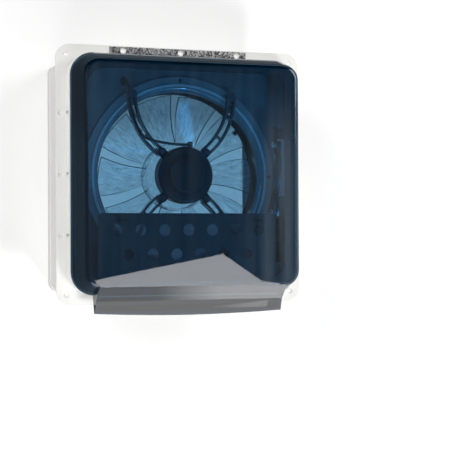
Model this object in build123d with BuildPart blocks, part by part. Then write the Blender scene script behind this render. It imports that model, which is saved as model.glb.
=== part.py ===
from build123d import *

import os
from math import acos, atan2, ceil, cos, degrees, hypot, pi, radians, sin, sqrt, tan

# Caravan roof vent with a hinged lid, a fan and a geared lift arm.
# Millimetres. Origin: centre of the roof hole on the roof skin. +Z out of the roof, +Y to the hinge.

os.makedirs("parts", exist_ok=True)

# Roof and housing
duct_room = 51.5            # fan ring's throat to the duct's wall
roof_gap = 2.0              # housing wall to the edge of the hole
housing_wall = 2.5
housing_depth = 146.0       # reach below the roof skin
skirt_corner = 14.0         # corner radius below the roof
skirt_band = 1.0            # how far the band at the foot stands out
band_height = 16.0
shoulder_thickness = 3.0    # plate where the corner radius changes
body_corner = 36.0          # corner radius above the roof
ledge_width = 9.5           # inner ledge that carries the screen frame
ledge_thickness = 2.5
ledge_height = 7.5          # ledge's underside above the foot

# Roof flange
flange_overhang = 18.0
seat_depth = 0.8            # the housing's square shoulder reaches this far into the flange
flange_thickness = 3.5
flange_corner = 24.0
upstand_height = 28.0
upstand_wall = 2.5
wall_fit = 0.3              # between nested walls
roof_screw_hole = 5.0
roof_screw_sink = 10.0
roof_screw_inset = 8.0      # side holes, from the flange's edge
corner_screw_inset = 17.5   # corner holes, from the flange's edges
roof_screw_pitch = 102.0
side_screw_height = 18.0
side_screw_shank = 3.2
side_screw_head = 6.4
side_screw_length = 8.0
screw_fit = 0.1             # radial, shank to hole
cut_overrun = 1.0           # shared by all cuts

# Deck and fan ring
deck_thickness = 3.0
deck_rim_wall = 2.0
deck_rim_depth = 8.0
throat_radius = 144.0
bell_radius = 10.0
ring_wall = 3.0
ring_depth = 43.0           # barrel's foot below the deck's top
bead_width = 3.0
bead_height = 3.0
ring_flange_width = 13.0    # outside the bead
deck_hole_gap = 6.0         # bell's outside to the deck hole
ring_screw_count = 4
deck_screw_inset = 2.3      # past the shoulder's inner corner

# Small screws
screw_shank = 3.2
screw_head = 6.0
screw_head_height = 2.2

# Spider
foot_angle = 33.0           # degrees from the hinge direction
rail_width = 3.5
rail_spacing = 12.0
rail_height = 10.0
rail_lift = 1.0             # above the bead
cable_rail_angles = (36.0, 24.0, 11.0, -2.0)
hoop_thickness = 4.0
hoop_inset = 0.5            # inside the motor's side
hoop_inner = 24.0
foot_pad = 6.0
ear_pad = 7.0
rail_web_shares = (0.34, 0.67)

# Motor
motor_radius = 48.5
motor_height = 23.0
motor_gap = 1.0             # above the spider's hoop
motor_edge = 5.0
ear_radius = 7.5
ear_out = 7.22              # ears' screws outside the motor's side
ear_thickness = 4.0
grommet_height = 3.0
grommet_radius = 6.5
motor_screw_shank = 4.0
motor_screw_head = 8.0
motor_screw_head_height = 3.0
cap_radius = 31.0
cap_height = 7.0
cap_edge = 3.0
boss_radius = 12.0
boss_drop = 11.0
shaft_radius = 4.0
shaft_clearance = 0.05
shaft_top_gap = 5.0         # shaft's end below the motor's top
bearing_outer = 8.0
bearing_height = 6.0

# Fan rotor
blade_count = 10
blade_angle = 27.0          # degrees that one blade covers
blade_height = 24.0
blade_thickness = 2.0
blade_camber = 3.0
blade_sweep = 5.0
hub_radius = 59.0
hub_height = 30.0
hub_wall = 2.5
hub_drop = 10.0             # hub's top below the deck's seat of the ring flange
hub_boss_radius = 11.0
tip_clearance = 4.0
blade_margin = 3.0          # hub's ends to the blades
nut_radius = 8.0
nut_height = 5.0
washer_radius = 10.0
washer_thickness = 1.5
shaft_tail = 2.0

# Cable
cable_diameter = 4.5
clip_wall = 1.4
clip_width = 5.0
clip_clearance = 0.1
gland_length = 6.0
gland_reach = 5.0
gland_height = 9.0
cable_front = 3.5           # in front of the motor's side
cable_bend = 18.0           # left of the centre
cable_ear_side = 46.0       # left of the centre, where the cable passes the ear
cable_ear_front = 7.5
cable_ear_drop = 3.0
cable_exit_side = 98.4      # left of the centre
cable_exit_room = 17.0      # outside the ring
cable_exit_lean = (1.9, 8.0, 14.0)
cable_exit_rise = 5.0       # last point above the deck
cable_grommet_radius = 7.0
cable_grommet_height = 5.0

# Lid
lid_height = 45.7           # above its rim
lid_wall = 2.5
lid_taper = 17.5            # degrees
lid_edge = 10.0
seal_height = 6.0
seal_gap = 0.3
seal_width = 5.0
seal_edge = 2.0
seal_stop = 35.0            # front part without seal, from the wall's front face
tail_inset = 36.8           # from the upstand's outside, on each side
tail_reach = 35.0           # past the upstand
tail_bow = 5.0              # how far the tail's edge curves out at its middle
tail_break_reach = 9.5      # where the two tail facets meet, past the upstand
tail_break_drop = 24.0      # below the lid's top
tail_tip_drop = 33.0
tail_tip_height = 2.5
tail_root_share = 0.5
tail_shift = 1.9            # inner tail face, inwards and down
liner_gap = 0.3
liner_wall = 2.0
liner_depth = 8.3           # below the lid's rim
liner_foot_reach = 12.0     # past the upstand
liner_start = 3.0           # past the upstand

# Lid frame
frame_rise = 9.7            # above the rim
frame_thickness = 3.0
frame_width = 20.0
frame_side_inset = 6.6      # from the rim's outside

# Baffle
baffle_inset = 37.2         # from the frame's outside
baffle_front = 65.0
baffle_thickness = 2.5
baffle_corner = 8.0
baffle_hole = 20.0
baffle_pitch = 42.0
baffle_row_one = 93.0
baffle_row_two = 134.0
baffle_holes = 7             # in the front row; the rear row is staggered
baffle_screw_inset = 5.0     # inside the frame's inner edge
baffle_screw_pitch = 100.0
post_radius = 3.5
post_inset = 12.0
post_spacing = 240.0

# Hinges
hinge_spacing = 220.0
hinge_inset = 4.0           # axis inside the housing wall's inner face
hinge_rise = 10.0           # axis above the wall's top
knuckle_radius = 4.5
leaf_knuckle = 24.0
bracket_knuckle = 13.7
knuckle_gap = 0.3
hinge_pin_radius = 2.0
hinge_pin_clearance = 0.05
pin_head_radius = 3.5
pin_head_length = 1.5
bracket_plate = 2.5
bracket_foot = 4.0          # above the roof skin
leaf_plate = 2.4
leaf_width = 40.0
leaf_length = 20.0
leaf_screw_spread = 28.0
leaf_screw_inset = 5.0
leaf_neck = 9.0

# Lift arm, its slot in the lid and its gears
lid_travel = 20.0           # degrees
arm_ratio = 2.5             # arm's turn for each turn of the lid
arm_pivot_back = 62.0       # behind the centre
arm_pivot_height = 20.0
arm_pin_front = 53.0        # in front of the centre, lid shut
arm_pin_height = 46.0
arm_room = 34.5             # duct's wall to the inner face of the arm
arm_thickness = 4.0
arm_hub_radius = 9.0
arm_tip_radius = 7.0
arm_slot_width = 5.0
arm_slot_margin = 14.0
pivot_pin_radius = 3.0
pivot_clearance = 0.05
guide_pin_radius = 3.0
guide_clearance = 0.4
guide_head_radius = 5.5
guide_head_length = 2.0
track_gap = 4.0             # between the arm and the track
track_thickness = 3.0
track_border = 6.0
track_foot = 24.0
track_foot_gap = 7.0
track_tab = 3.0
track_screw_inset = 7.0
slot_steps = 8
gear_module = 1.25
sector_teeth = 28
pinion_teeth = 12
pressure_angle = 20.0       # degrees
gear_addendum_share = 0.9   # of the module
gear_dedendum_share = 1.2
gear_backlash = 0.25
gear_centre_gap = 0.15
mesh_angle = 205.0          # degrees, direction from the arm's pivot to the pinion
sector_spare = 14.0         # degrees of teeth past each end of travel
pinion_depth = 12.0         # shaft in the gearbox
pinion_collar = 2.0
bracket_gap = 2.0
cheek_thickness = 3.0
cheek_half = 12.0
bracket_base = 12.0
bracket_screw_inset = 4.0

# Gearbox and lift motor
gearbox_width = 24.0
gearbox_length = 36.0
gearbox_height = 28.0
gearbox_edge = 3.0
gearbox_front = 9.0         # past the pinion's axis, towards the hinge
gearbox_screw_inset = 6.0
gearbox_screw_grip = 7.0    # depth in the gearbox
lift_motor_radius = 12.0
lift_motor_length = 38.0
lift_motor_edge = 2.0
lift_motor_float = 1.0

# Control unit
cover_inset = 2.5           # from the housing's inner wall
cover_width = 18.5
cover_back = 44.0
cover_front = 66.0
cover_height = 17.0
cover_wall = 1.5
cover_edge = 2.0
board_height = 6.0
board_thickness = 1.6
board_gap = 0.5
board_post = 1.5
board_post_inset = 4.0
fuse_radius = 2.5
fuse_length = 20.0
holder_width = 8.0
holder_length = 26.0
holder_base = 1.5
holder_jaw = 4.0
fuse_fit = 0.1
holder_back = 30.0

# Screen at the foot of the duct
screen_border = 28.5        # inside the duct's wall
screen_corner = 12.0
screen_thickness = 5.0
mesh_thickness = 0.6
mesh_groove = 3.0
mesh_count = 8
mesh_bar = 2.0
mesh_fit = 0.1
mesh_gap = 0.02             # between the two layers of strands
screen_screw_reach = 150.0
window_radius = 5.0
window_bulge = 1.2
window_fit = 0.05
sensor_angle = 34.0
sensor_width = 8.0
sensor_depth = 7.0
sensor_height = 8.0

# Sizes that follow
duct_half = throat_radius + duct_room
housing_half = duct_half + housing_wall
upstand_inner = housing_half + wall_fit
upstand_half = upstand_inner + upstand_wall
flange_half = housing_half + roof_gap + flange_overhang
tail_half = upstand_half - tail_inset
arm_plane = duct_half - arm_room
screen_half = duct_half - screen_border
deck_top = -shoulder_thickness
ring_top = deck_top + ring_wall
bead_inner = throat_radius + bell_radius
bead_outer = bead_inner + bead_width
ring_radius = bead_outer + ring_flange_width
bead_top = ring_top + bead_height
rail_bottom = bead_top + rail_lift
rail_top = rail_bottom + rail_height
motor_bottom = rail_bottom + hoop_thickness + motor_gap
motor_top = motor_bottom + motor_height
ear_bottom = rail_top + grommet_height
ear_top = ear_bottom + ear_thickness
ear_circle = motor_radius + ear_out
ear_reach = ear_circle / sqrt(2)
ear_pitch = 2 * ear_reach
hoop_outer = motor_radius - hoop_inset
hub_top = ring_top - hub_drop
hub_bottom = hub_top - hub_height
rim_bottom = upstand_height + seal_height + seal_gap
lid_top = rim_bottom + lid_height
frame_bottom = rim_bottom + frame_rise
hinge_y = duct_half - hinge_inset
hinge_z = upstand_height + hinge_rise
foot_radius = bead_outer + ring_flange_width / 2
arm_pivot = (-arm_pivot_back, arm_pivot_height)
gear_distance = gear_module * (sector_teeth + pinion_teeth) / 2 + gear_centre_gap
pinion_centre = (
    arm_pivot[0] + gear_distance * cos(radians(mesh_angle)),
    arm_pivot[1] + gear_distance * sin(radians(mesh_angle)),
)
cheek_plane = arm_plane + arm_thickness + bracket_gap
gearbox_end = pinion_centre[0] + gearbox_front
gearbox_x = cheek_plane + gearbox_width / 2
gearbox_middle = gearbox_end - gearbox_length / 2
gearbox_screw_places = [
    (gearbox_x, gearbox_middle + side * (gearbox_length / 2 - gearbox_screw_inset)) for side in (-1, 1)
]
bracket_screw_places = [
    (cheek_plane + (cheek_thickness + bracket_base) / 2, arm_pivot[0] + side * (cheek_half - bracket_screw_inset))
    for side in (-1, 1)
]


def square_tube(outer, outer_corner, inner, inner_corner):
    """Draw a square ring with rounded corners in the sketch that is open."""
    RectangleRounded(2 * outer, 2 * outer, outer_corner)
    RectangleRounded(2 * inner, 2 * inner, inner_corner, mode=Mode.SUBTRACT)


def small_screws(places, shank, head, head_height, length):
    """Pan-head screws whose heads sit on the places' planes, shanks pointing down."""
    with BuildPart() as screws:
        with Locations(*places):
            Cylinder(shank / 2, length, align=(Align.CENTER, Align.CENTER, Align.MAX))
            Cylinder(head / 2, head_height, align=(Align.CENTER, Align.CENTER, Align.MIN))
    return screws


# Roof flange with its upstand
side_places = [
    Location((0, 0, 0), (0, 0, 90 * side))
    * Location((upstand_half, step * roof_screw_pitch, side_screw_height), (0, 90, 0))
    for side in range(4)
    for step in (-1, 0, 1)
]
corner_reach = flange_half - corner_screw_inset
side_reach = flange_half - roof_screw_inset
roof_hole_places = [
    (x, y, flange_thickness) for x in (-corner_reach, corner_reach) for y in (-corner_reach, corner_reach)
]
for step in (-1, 0, 1):
    for reach in (-side_reach, side_reach):
        roof_hole_places.append((reach, step * roof_screw_pitch, flange_thickness))
        roof_hole_places.append((step * roof_screw_pitch, reach, flange_thickness))

with BuildPart() as roof_flange:
    with BuildSketch():
        RectangleRounded(2 * flange_half, 2 * flange_half, flange_corner)
    extrude(amount=flange_thickness)
    with BuildSketch():
        RectangleRounded(2 * upstand_half, 2 * upstand_half, body_corner + wall_fit + upstand_wall)
    extrude(amount=upstand_height)
    with BuildSketch():
        RectangleRounded(2 * upstand_inner, 2 * upstand_inner, body_corner + wall_fit)
    extrude(amount=upstand_height, mode=Mode.SUBTRACT)
    with BuildSketch():
        RectangleRounded(2 * upstand_inner, 2 * upstand_inner, skirt_corner + wall_fit)
    extrude(amount=seat_depth, mode=Mode.SUBTRACT)
    with Locations(*roof_hole_places):
        CounterSinkHole(roof_screw_hole / 2, roof_screw_sink / 2, depth=flange_thickness)
    with Locations(*side_places):
        Cylinder(side_screw_shank / 2 + screw_fit, 2 * side_screw_length, mode=Mode.SUBTRACT)
roof_flange.part.label = "roof_flange"
export_step(roof_flange.part, "parts/roof_flange.step")

# Housing: duct below the roof, wall above it, shoulder between them, ledge at the foot
screw_x = duct_half - ledge_width / 2
screen_screw_places = [(x, y) for x in (-screw_x, screw_x) for y in (-screen_screw_reach, screen_screw_reach)]
with BuildPart() as fan_housing:
    with BuildSketch(Plane.XY.offset(-housing_depth)):
        RectangleRounded(2 * housing_half, 2 * housing_half, skirt_corner)
    extrude(amount=housing_depth + seat_depth)
    with BuildSketch(Plane.XY.offset(-housing_depth)):
        band_half = housing_half + skirt_band
        RectangleRounded(2 * band_half, 2 * band_half, skirt_corner + skirt_band)
    extrude(amount=band_height)
    with BuildSketch():
        RectangleRounded(2 * housing_half, 2 * housing_half, body_corner)
    extrude(amount=upstand_height)
    with BuildSketch(Plane.XY.offset(-housing_depth)):
        RectangleRounded(2 * duct_half, 2 * duct_half, skirt_corner - housing_wall)
    extrude(amount=housing_depth - shoulder_thickness, mode=Mode.SUBTRACT)
    with BuildSketch(Plane.XY.offset(-shoulder_thickness)):
        RectangleRounded(2 * duct_half, 2 * duct_half, body_corner - housing_wall)
    extrude(amount=shoulder_thickness + upstand_height, mode=Mode.SUBTRACT)
    with BuildSketch(Plane.XY.offset(ledge_height - housing_depth)):
        square_tube(duct_half, skirt_corner - housing_wall, duct_half - ledge_width, screen_corner)
        with Locations(*screen_screw_places):
            Circle(screw_shank / 2 + screw_fit, mode=Mode.SUBTRACT)
    extrude(amount=ledge_thickness)
    with Locations(*side_places):
        Cylinder(side_screw_shank / 2 + screw_fit, 2 * side_screw_length, mode=Mode.SUBTRACT)
    corner_mid = housing_half - body_corner + (body_corner - housing_wall) / sqrt(2)
    deck_screw_reach = corner_mid + deck_screw_inset
    with GridLocations(2 * deck_screw_reach, 2 * deck_screw_reach, 2, 2):
        Cylinder(screw_shank / 2 + screw_fit, 3 * shoulder_thickness, mode=Mode.SUBTRACT)
fan_housing.part.label = "fan_housing"
export_step(fan_housing.part, "parts/fan_housing.step")

side_screws = small_screws(
    side_places, side_screw_shank, side_screw_head, screw_head_height, side_screw_length
)
side_screws.part.label = "side_screws"
export_step(side_screws.part, "parts/side_screws.step")

# Deck that closes the housing round the fan
deck_half = duct_half - wall_fit
deck_corner = skirt_corner - housing_wall - wall_fit
with BuildPart() as fan_deck:
    with BuildSketch(Plane.XY.offset(deck_top - deck_thickness)):
        RectangleRounded(2 * deck_half, 2 * deck_half, deck_corner)
    extrude(amount=deck_thickness)
    with BuildSketch(Plane.XY.offset(deck_top - deck_rim_depth)):
        square_tube(deck_half, deck_corner, deck_half - deck_rim_wall, deck_corner - deck_rim_wall)
    extrude(amount=deck_rim_depth - deck_thickness)
    Cylinder(bead_inner + deck_hole_gap, housing_depth, mode=Mode.SUBTRACT)
    with PolarLocations(ring_radius - ring_flange_width / 2, ring_screw_count):
        Cylinder(screw_shank / 2 + screw_fit, housing_depth, mode=Mode.SUBTRACT)
    with GridLocations(2 * deck_screw_reach, 2 * deck_screw_reach, 2, 2):
        Cylinder(screw_shank / 2 + screw_fit, housing_depth, mode=Mode.SUBTRACT)
    with Locations(*gearbox_screw_places, *bracket_screw_places):
        Cylinder(screw_shank / 2 + screw_fit, housing_depth, mode=Mode.SUBTRACT)
fan_deck.part.label = "fan_deck"
export_step(fan_deck.part, "parts/fan_deck.step")

deck_screw_face = Plane.XY.offset(deck_top - deck_thickness).location * Location((0, 0, 0), (180, 0, 0))
deck_screws = small_screws(
    [deck_screw_face * Location((x, y, 0)) for x in (-deck_screw_reach, deck_screw_reach)
     for y in (-deck_screw_reach, deck_screw_reach)],
    screw_shank, screw_head, screw_head_height, deck_thickness + shoulder_thickness,
)
deck_screws.part.label = "deck_screws"
export_step(deck_screws.part, "parts/deck_screws.step")

# Fan ring: flange, bead, bell mouth and barrel turned about the fan's axis
with BuildPart() as fan_ring:
    with BuildSketch(Plane.XZ):
        with BuildLine():
            bell_centre = (bead_inner, ring_top - bell_radius)
            barrel_foot = deck_top - ring_depth
            Line((throat_radius, barrel_foot), (throat_radius, ring_top - bell_radius))
            CenterArc(bell_centre, bell_radius, 180, -90)
            Polyline(
                (bead_inner, ring_top), (bead_inner, bead_top), (bead_outer, bead_top),
                (bead_outer, ring_top), (ring_radius, ring_top), (ring_radius, deck_top),
                (bead_inner, deck_top),
            )
            CenterArc(bell_centre, bell_radius - ring_wall, 90, 90)
            Polyline(
                (throat_radius + ring_wall, ring_top - bell_radius),
                (throat_radius + ring_wall, barrel_foot), (throat_radius, barrel_foot),
            )
        make_face()
    revolve(axis=Axis.Z)
    with PolarLocations(ring_radius - ring_flange_width / 2, ring_screw_count):
        Cylinder(screw_shank / 2 + screw_fit, housing_depth, mode=Mode.SUBTRACT)
fan_ring.part.label = "fan_ring"
export_step(fan_ring.part, "parts/fan_ring.step")

ring_screws = small_screws(
    [Location((0, 0, 0), (0, 0, 360 / ring_screw_count * index))
     * Location((ring_radius - ring_flange_width / 2, 0, ring_top)) for index in range(ring_screw_count)],
    screw_shank, screw_head, screw_head_height, ring_wall + deck_thickness,
)
ring_screws.part.label = "ring_screws"
export_step(ring_screws.part, "parts/ring_screws.step")

# Spider: each arm is two concentric rails from a foot on the ring to a motor ear
foot_x = foot_radius * sin(radians(foot_angle))
foot_y = foot_radius * cos(radians(foot_angle))
arm_half_turn = atan2(foot_x - ear_reach, foot_y - ear_reach)
arm_bend = hypot(foot_x - ear_reach, foot_y - ear_reach) / (2 * sin(arm_half_turn))
arm_turn = degrees(2 * arm_half_turn)
arm_centre = (foot_x - arm_bend, foot_y)
spider_foot_places = [(sx * foot_x, sy * foot_y) for sx in (-1, 1) for sy in (-1, 1)]
with BuildPart() as motor_spider:
    with BuildSketch(Plane.XY.offset(rail_bottom)):
        for side in (-1, 1):
            with BuildLine():
                CenterArc(arm_centre, arm_bend + side * rail_spacing / 2, 0, -arm_turn)
            trace(line_width=rail_width)
        for share in rail_web_shares:
            with Locations(Location(arm_centre) * Rotation(0, 0, -share * arm_turn)):
                with Locations((arm_bend, 0)):
                    Rectangle(rail_spacing, rail_width)
        with Locations((foot_x, foot_y)):
            Circle((rail_spacing + rail_width) / 2)
        with Locations((ear_reach, ear_reach)):
            Circle(ear_pad)
    extrude(amount=rail_height)
    with BuildSketch(Plane.XY.offset(ring_top)):
        with Locations((foot_x, foot_y)):
            Circle(foot_pad)
    extrude(amount=rail_bottom - ring_top)
    mirror(about=Plane.YZ)
    mirror(about=Plane.XZ)
    with BuildSketch(Plane.XY.offset(rail_bottom)):
        Circle(hoop_outer)
        Circle(hoop_inner, mode=Mode.SUBTRACT)
    extrude(amount=hoop_thickness)
    with Locations(*spider_foot_places):
        Cylinder(screw_shank / 2 + screw_fit, housing_depth, mode=Mode.SUBTRACT)
    with GridLocations(ear_pitch, ear_pitch, 2, 2):
        Cylinder(motor_screw_shank / 2 + screw_fit, housing_depth, mode=Mode.SUBTRACT)
motor_spider.part.label = "motor_spider"
export_step(motor_spider.part, "parts/motor_spider.step")

spider_screws = small_screws(
    [Location((x, y, rail_top)) for x, y in spider_foot_places],
    screw_shank, screw_head, screw_head_height, rail_top - ring_top,
)
spider_screws.part.label = "spider_screws"
export_step(spider_screws.part, "parts/spider_screws.step")

# Motor on rubber bushes, with its cap and bearing
with BuildPart() as motor_housing:
    with BuildSketch(Plane.XY.offset(motor_bottom)):
        Circle(motor_radius)
    extrude(amount=motor_height)
    fillet(motor_housing.faces().sort_by(Axis.Z)[-1].edges(), motor_edge)
    with BuildSketch(Plane.XY.offset(ear_bottom)):
        with PolarLocations(ear_circle, 4, start_angle=45):
            Circle(ear_radius)
        with PolarLocations(ear_circle / 2, 4, start_angle=45):
            Rectangle(ear_circle, 2 * ear_radius)
    extrude(amount=ear_thickness)
    with BuildSketch(Plane.XY.offset(motor_bottom - boss_drop)):
        Circle(boss_radius)
    extrude(amount=boss_drop)
    with BuildSketch(Plane.XY.offset(motor_bottom - boss_drop)):
        Circle(bearing_outer)
    extrude(amount=bearing_height, mode=Mode.SUBTRACT)
    with BuildSketch(Plane.XY.offset(motor_bottom - boss_drop)):
        Circle(shaft_radius + 2 * shaft_clearance)
    extrude(amount=boss_drop + motor_height - shaft_top_gap, mode=Mode.SUBTRACT)
    with GridLocations(ear_pitch, ear_pitch, 2, 2):
        Cylinder(motor_screw_shank / 2 + screw_fit, housing_depth, mode=Mode.SUBTRACT)
motor_housing.part.label = "motor_housing"
export_step(motor_housing.part, "parts/motor_housing.step")

with BuildPart() as motor_cap:
    with BuildSketch(Plane.XY.offset(motor_top)):
        Circle(cap_radius)
    extrude(amount=cap_height)
    fillet(motor_cap.faces().sort_by(Axis.Z)[-1].edges(), cap_edge)
motor_cap.part.label = "motor_cap"
export_step(motor_cap.part, "parts/motor_cap.step")

with BuildPart() as motor_bearing:
    with BuildSketch(Plane.XY.offset(motor_bottom - boss_drop)):
        Circle(bearing_outer)
        Circle(shaft_radius + shaft_clearance, mode=Mode.SUBTRACT)
    extrude(amount=bearing_height)
motor_bearing.part.label = "motor_bearing"
export_step(motor_bearing.part, "parts/motor_bearing.step")

with BuildPart() as motor_grommets:
    with BuildSketch(Plane.XY.offset(rail_top)):
        with GridLocations(ear_pitch, ear_pitch, 2, 2):
            Circle(grommet_radius)
            Circle(motor_screw_shank / 2 + screw_fit, mode=Mode.SUBTRACT)
    extrude(amount=grommet_height)
motor_grommets.part.label = "motor_grommets"
export_step(motor_grommets.part, "parts/motor_grommets.step")

motor_screws = small_screws(
    [Location((x, y, ear_top)) for x in (-ear_reach, ear_reach) for y in (-ear_reach, ear_reach)],
    motor_screw_shank, motor_screw_head, motor_screw_head_height, ear_top - rail_bottom,
)
motor_screws.part.label = "motor_screws"
export_step(motor_screws.part, "parts/motor_screws.step")

# Rotor: blades lofted through three cambered sections and trimmed to the ring, round a cup-shaped hub
blade_tip = throat_radius - tip_clearance
blade_mid_z = (hub_top + hub_bottom) / 2
blade_root = hub_radius - hub_wall - blade_margin
blade_end = blade_tip + blade_margin
blade_stations = [(blade_root, 0), ((blade_root + blade_end) / 2, blade_sweep), (blade_end, 0)]
with BuildPart() as fan_blade:
    for radius, across in blade_stations:
        half_width = radius * tan(radians(blade_angle / 2))
        lead = (across - half_width, blade_mid_z + blade_height / 2)
        trail = (across + half_width, blade_mid_z - blade_height / 2)
        middle = (across, blade_mid_z + blade_camber)
        lead_foot, middle_foot, trail_foot = ((y, z - blade_thickness) for y, z in (lead, middle, trail))
        with BuildSketch(Plane.YZ.offset(radius)):
            with BuildLine():
                ThreePointArc(lead, middle, trail)
                Line(trail, trail_foot)
                ThreePointArc(trail_foot, middle_foot, lead_foot)
                Line(lead_foot, lead)
            make_face()
    loft()

with BuildPart() as fan_rotor:
    with PolarLocations(0, blade_count):
        add(fan_blade.part)
    Cylinder(blade_tip, housing_depth, mode=Mode.INTERSECT)
    with BuildSketch(Plane.XY.offset(hub_bottom)):
        Circle(hub_radius)
    extrude(amount=hub_height)
    with BuildSketch(Plane.XY.offset(hub_bottom)):
        Circle(hub_radius - hub_wall)
        Circle(hub_boss_radius, mode=Mode.SUBTRACT)
    extrude(amount=hub_height - hub_wall, mode=Mode.SUBTRACT)
    with BuildSketch(Plane.XY.offset(hub_bottom)):
        Circle(shaft_radius + shaft_clearance)
    extrude(amount=hub_height, mode=Mode.SUBTRACT)
fan_rotor.part.label = "fan_rotor"
export_step(fan_rotor.part, "parts/fan_rotor.step")

with BuildPart() as motor_shaft:
    shaft_bottom = hub_bottom - washer_thickness - nut_height - shaft_tail
    with BuildSketch(Plane.XY.offset(shaft_bottom)):
        Circle(shaft_radius)
    extrude(amount=motor_top - shaft_top_gap - shaft_tail - shaft_bottom)
motor_shaft.part.label = "motor_shaft"
export_step(motor_shaft.part, "parts/motor_shaft.step")

with BuildPart() as hub_nut:
    with BuildSketch(Plane.XY.offset(hub_bottom - washer_thickness)):
        Circle(washer_radius)
    extrude(amount=washer_thickness)
    with BuildSketch(Plane.XY.offset(hub_bottom - washer_thickness - nut_height)):
        RegularPolygon(nut_radius, 6)
    extrude(amount=nut_height)
    with BuildSketch(Plane.XY.offset(hub_bottom - washer_thickness - nut_height)):
        Circle(shaft_radius + shaft_clearance)
    extrude(amount=nut_height + washer_thickness, mode=Mode.SUBTRACT)
hub_nut.part.label = "hub_nut"
export_step(hub_nut.part, "parts/hub_nut.step")

# Fan cable: from the motor's gland along the top of one arm's outer rail, down to a grommet in the deck
cable_on_rail = rail_top + clip_wall + cable_diameter / 2
cable_rail_radius = arm_bend + rail_spacing / 2


def over_rail(angle):
    """A cable point above the outer rail of the left front arm."""
    return (
        -arm_centre[0] - cable_rail_radius * cos(radians(angle)),
        arm_centre[1] - cable_rail_radius * sin(radians(angle)),
        cable_on_rail + clip_clearance,
    )


gland_z = ear_top + cable_diameter
gland_x = gland_length
cable_exit_y = sqrt((ring_radius + cable_exit_room) ** 2 - cable_exit_side ** 2)
cable_exit = Vector(-cable_exit_side, cable_exit_y, deck_top + cable_exit_rise)
cable_before_exit = cable_exit + Vector(cable_exit_lean[0], -cable_exit_lean[1], cable_exit_lean[2])
cable_route = [
    (gland_x, motor_radius + cable_front, gland_z),
    (-cable_bend, motor_radius + cable_front, gland_z),
    (-cable_ear_side, motor_radius + cable_ear_front, gland_z - cable_ear_drop),
    *[over_rail(angle) for angle in cable_rail_angles],
    tuple(cable_before_exit),
    tuple(cable_exit),
]


def bend_radii(route):
    """Print and return the largest radius that each corner's two runs allow."""
    radii = []
    for before, corner, after in zip(route, route[1:], route[2:]):
        first = Vector(*corner) - Vector(*before)
        second = Vector(*after) - Vector(*corner)
        shorter = min(first.length, second.length)
        radii.append(0.45 * shorter / tan(radians(first.get_angle(second) / 2)))
    print("cable radii", [round(radius, 1) for radius in radii])
    return radii


with BuildPart() as fan_cable:
    with BuildLine() as cable_line:
        FilletPolyline(*cable_route, radius=bend_radii(cable_route))
    with BuildSketch(Plane(cable_line.line @ 0, z_dir=cable_line.line % 0)):
        Circle(cable_diameter / 2)
    sweep()
    cable_section = pi * cable_diameter ** 2 / 4
    print("cable volume over section times length",
          fan_cable.part.volume / (cable_section * cable_line.wires()[0].length))
fan_cable.part.label = "fan_cable"
export_step(fan_cable.part, "parts/fan_cable.step")

with BuildPart() as motor_gland:
    with BuildSketch(Plane.XY.offset(gland_z - gland_height / 2)):
        with Locations((gland_x + gland_length / 2, cable_route[0][1])):
            RectangleRounded(gland_length, 2 * gland_reach, cable_diameter / 4)
        Circle(motor_radius, mode=Mode.SUBTRACT)
    extrude(amount=gland_height)
motor_gland.part.label = "motor_gland"
export_step(motor_gland.part, "parts/motor_gland.step")

clip_bore = cable_diameter / 2 + clip_clearance
with BuildPart() as cable_clips:
    rail_points = cable_route[3:3 + len(cable_rail_angles)]
    for first, second in zip(map(Vector, rail_points), map(Vector, rail_points[1:])):
        along = second - first
        clip_plane = Plane((first + second) / 2, x_dir=(-along.Y, along.X, 0), z_dir=along)
        with BuildSketch(clip_plane):
            Circle(clip_bore + clip_wall)
            Rectangle(rail_width, clip_bore + clip_wall, align=(Align.CENTER, Align.MAX))
            Circle(clip_bore, mode=Mode.SUBTRACT)
        extrude(amount=clip_width / 2, both=True)
cable_clips.part.label = "cable_clips"
export_step(cable_clips.part, "parts/cable_clips.step")

cable_end = cable_route[-1]
with BuildPart() as cable_grommet:
    with BuildSketch(Plane.XY.offset(deck_top)):
        with Locations((cable_end[0], cable_end[1])):
            Circle(cable_grommet_radius)
    extrude(amount=cable_grommet_height, taper=lid_taper)
cable_grommet.part.label = "cable_grommet"
export_step(cable_grommet.part, "parts/cable_grommet.step")

# Seal on the wall top, open at the front where the lid's rim swings down
with BuildPart() as lid_seal:
    with BuildSketch(Plane.XY.offset(upstand_height)):
        seal_outer_corner = body_corner + wall_fit + upstand_wall
        seal_inner = upstand_half - seal_width
        square_tube(upstand_half, seal_outer_corner, seal_inner, seal_outer_corner - seal_width)
        with Locations((0, housing_half)):
            Rectangle(3 * housing_half, 2 * seal_stop, mode=Mode.SUBTRACT)
    extrude(amount=seal_height)
    fillet(lid_seal.faces().sort_by(Axis.Z)[-1].edges().filter_by(Axis.Y), seal_edge)
lid_seal.part.label = "lid_seal"
export_step(lid_seal.part, "parts/lid_seal.step")

# Lid: tapered body with rounded top edges, and the stepped tail as a hood on its rear wall
lid_corner = body_corner + wall_fit + upstand_wall
tail_root = -upstand_half * tail_root_share
tail_start = -(upstand_half - lid_height * tan(radians(lid_taper)))
tail_break = (-(upstand_half + tail_break_reach), lid_top - tail_break_drop)
tail_tip = (-(upstand_half + tail_reach), lid_top - tail_tip_drop)
tail_tip_foot = (tail_tip[0], tail_tip[1] - tail_tip_height)
tail_outline = [
    (tail_root, lid_top), (tail_start, lid_top), tail_break, tail_tip, tail_tip_foot,
    (-(upstand_half + liner_start), rim_bottom), (tail_root, rim_bottom),
]


def shifted(points, across, down):
    """The same outline moved towards the hinge and down."""
    return [(y + across, z - down) for y, z in points]


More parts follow.
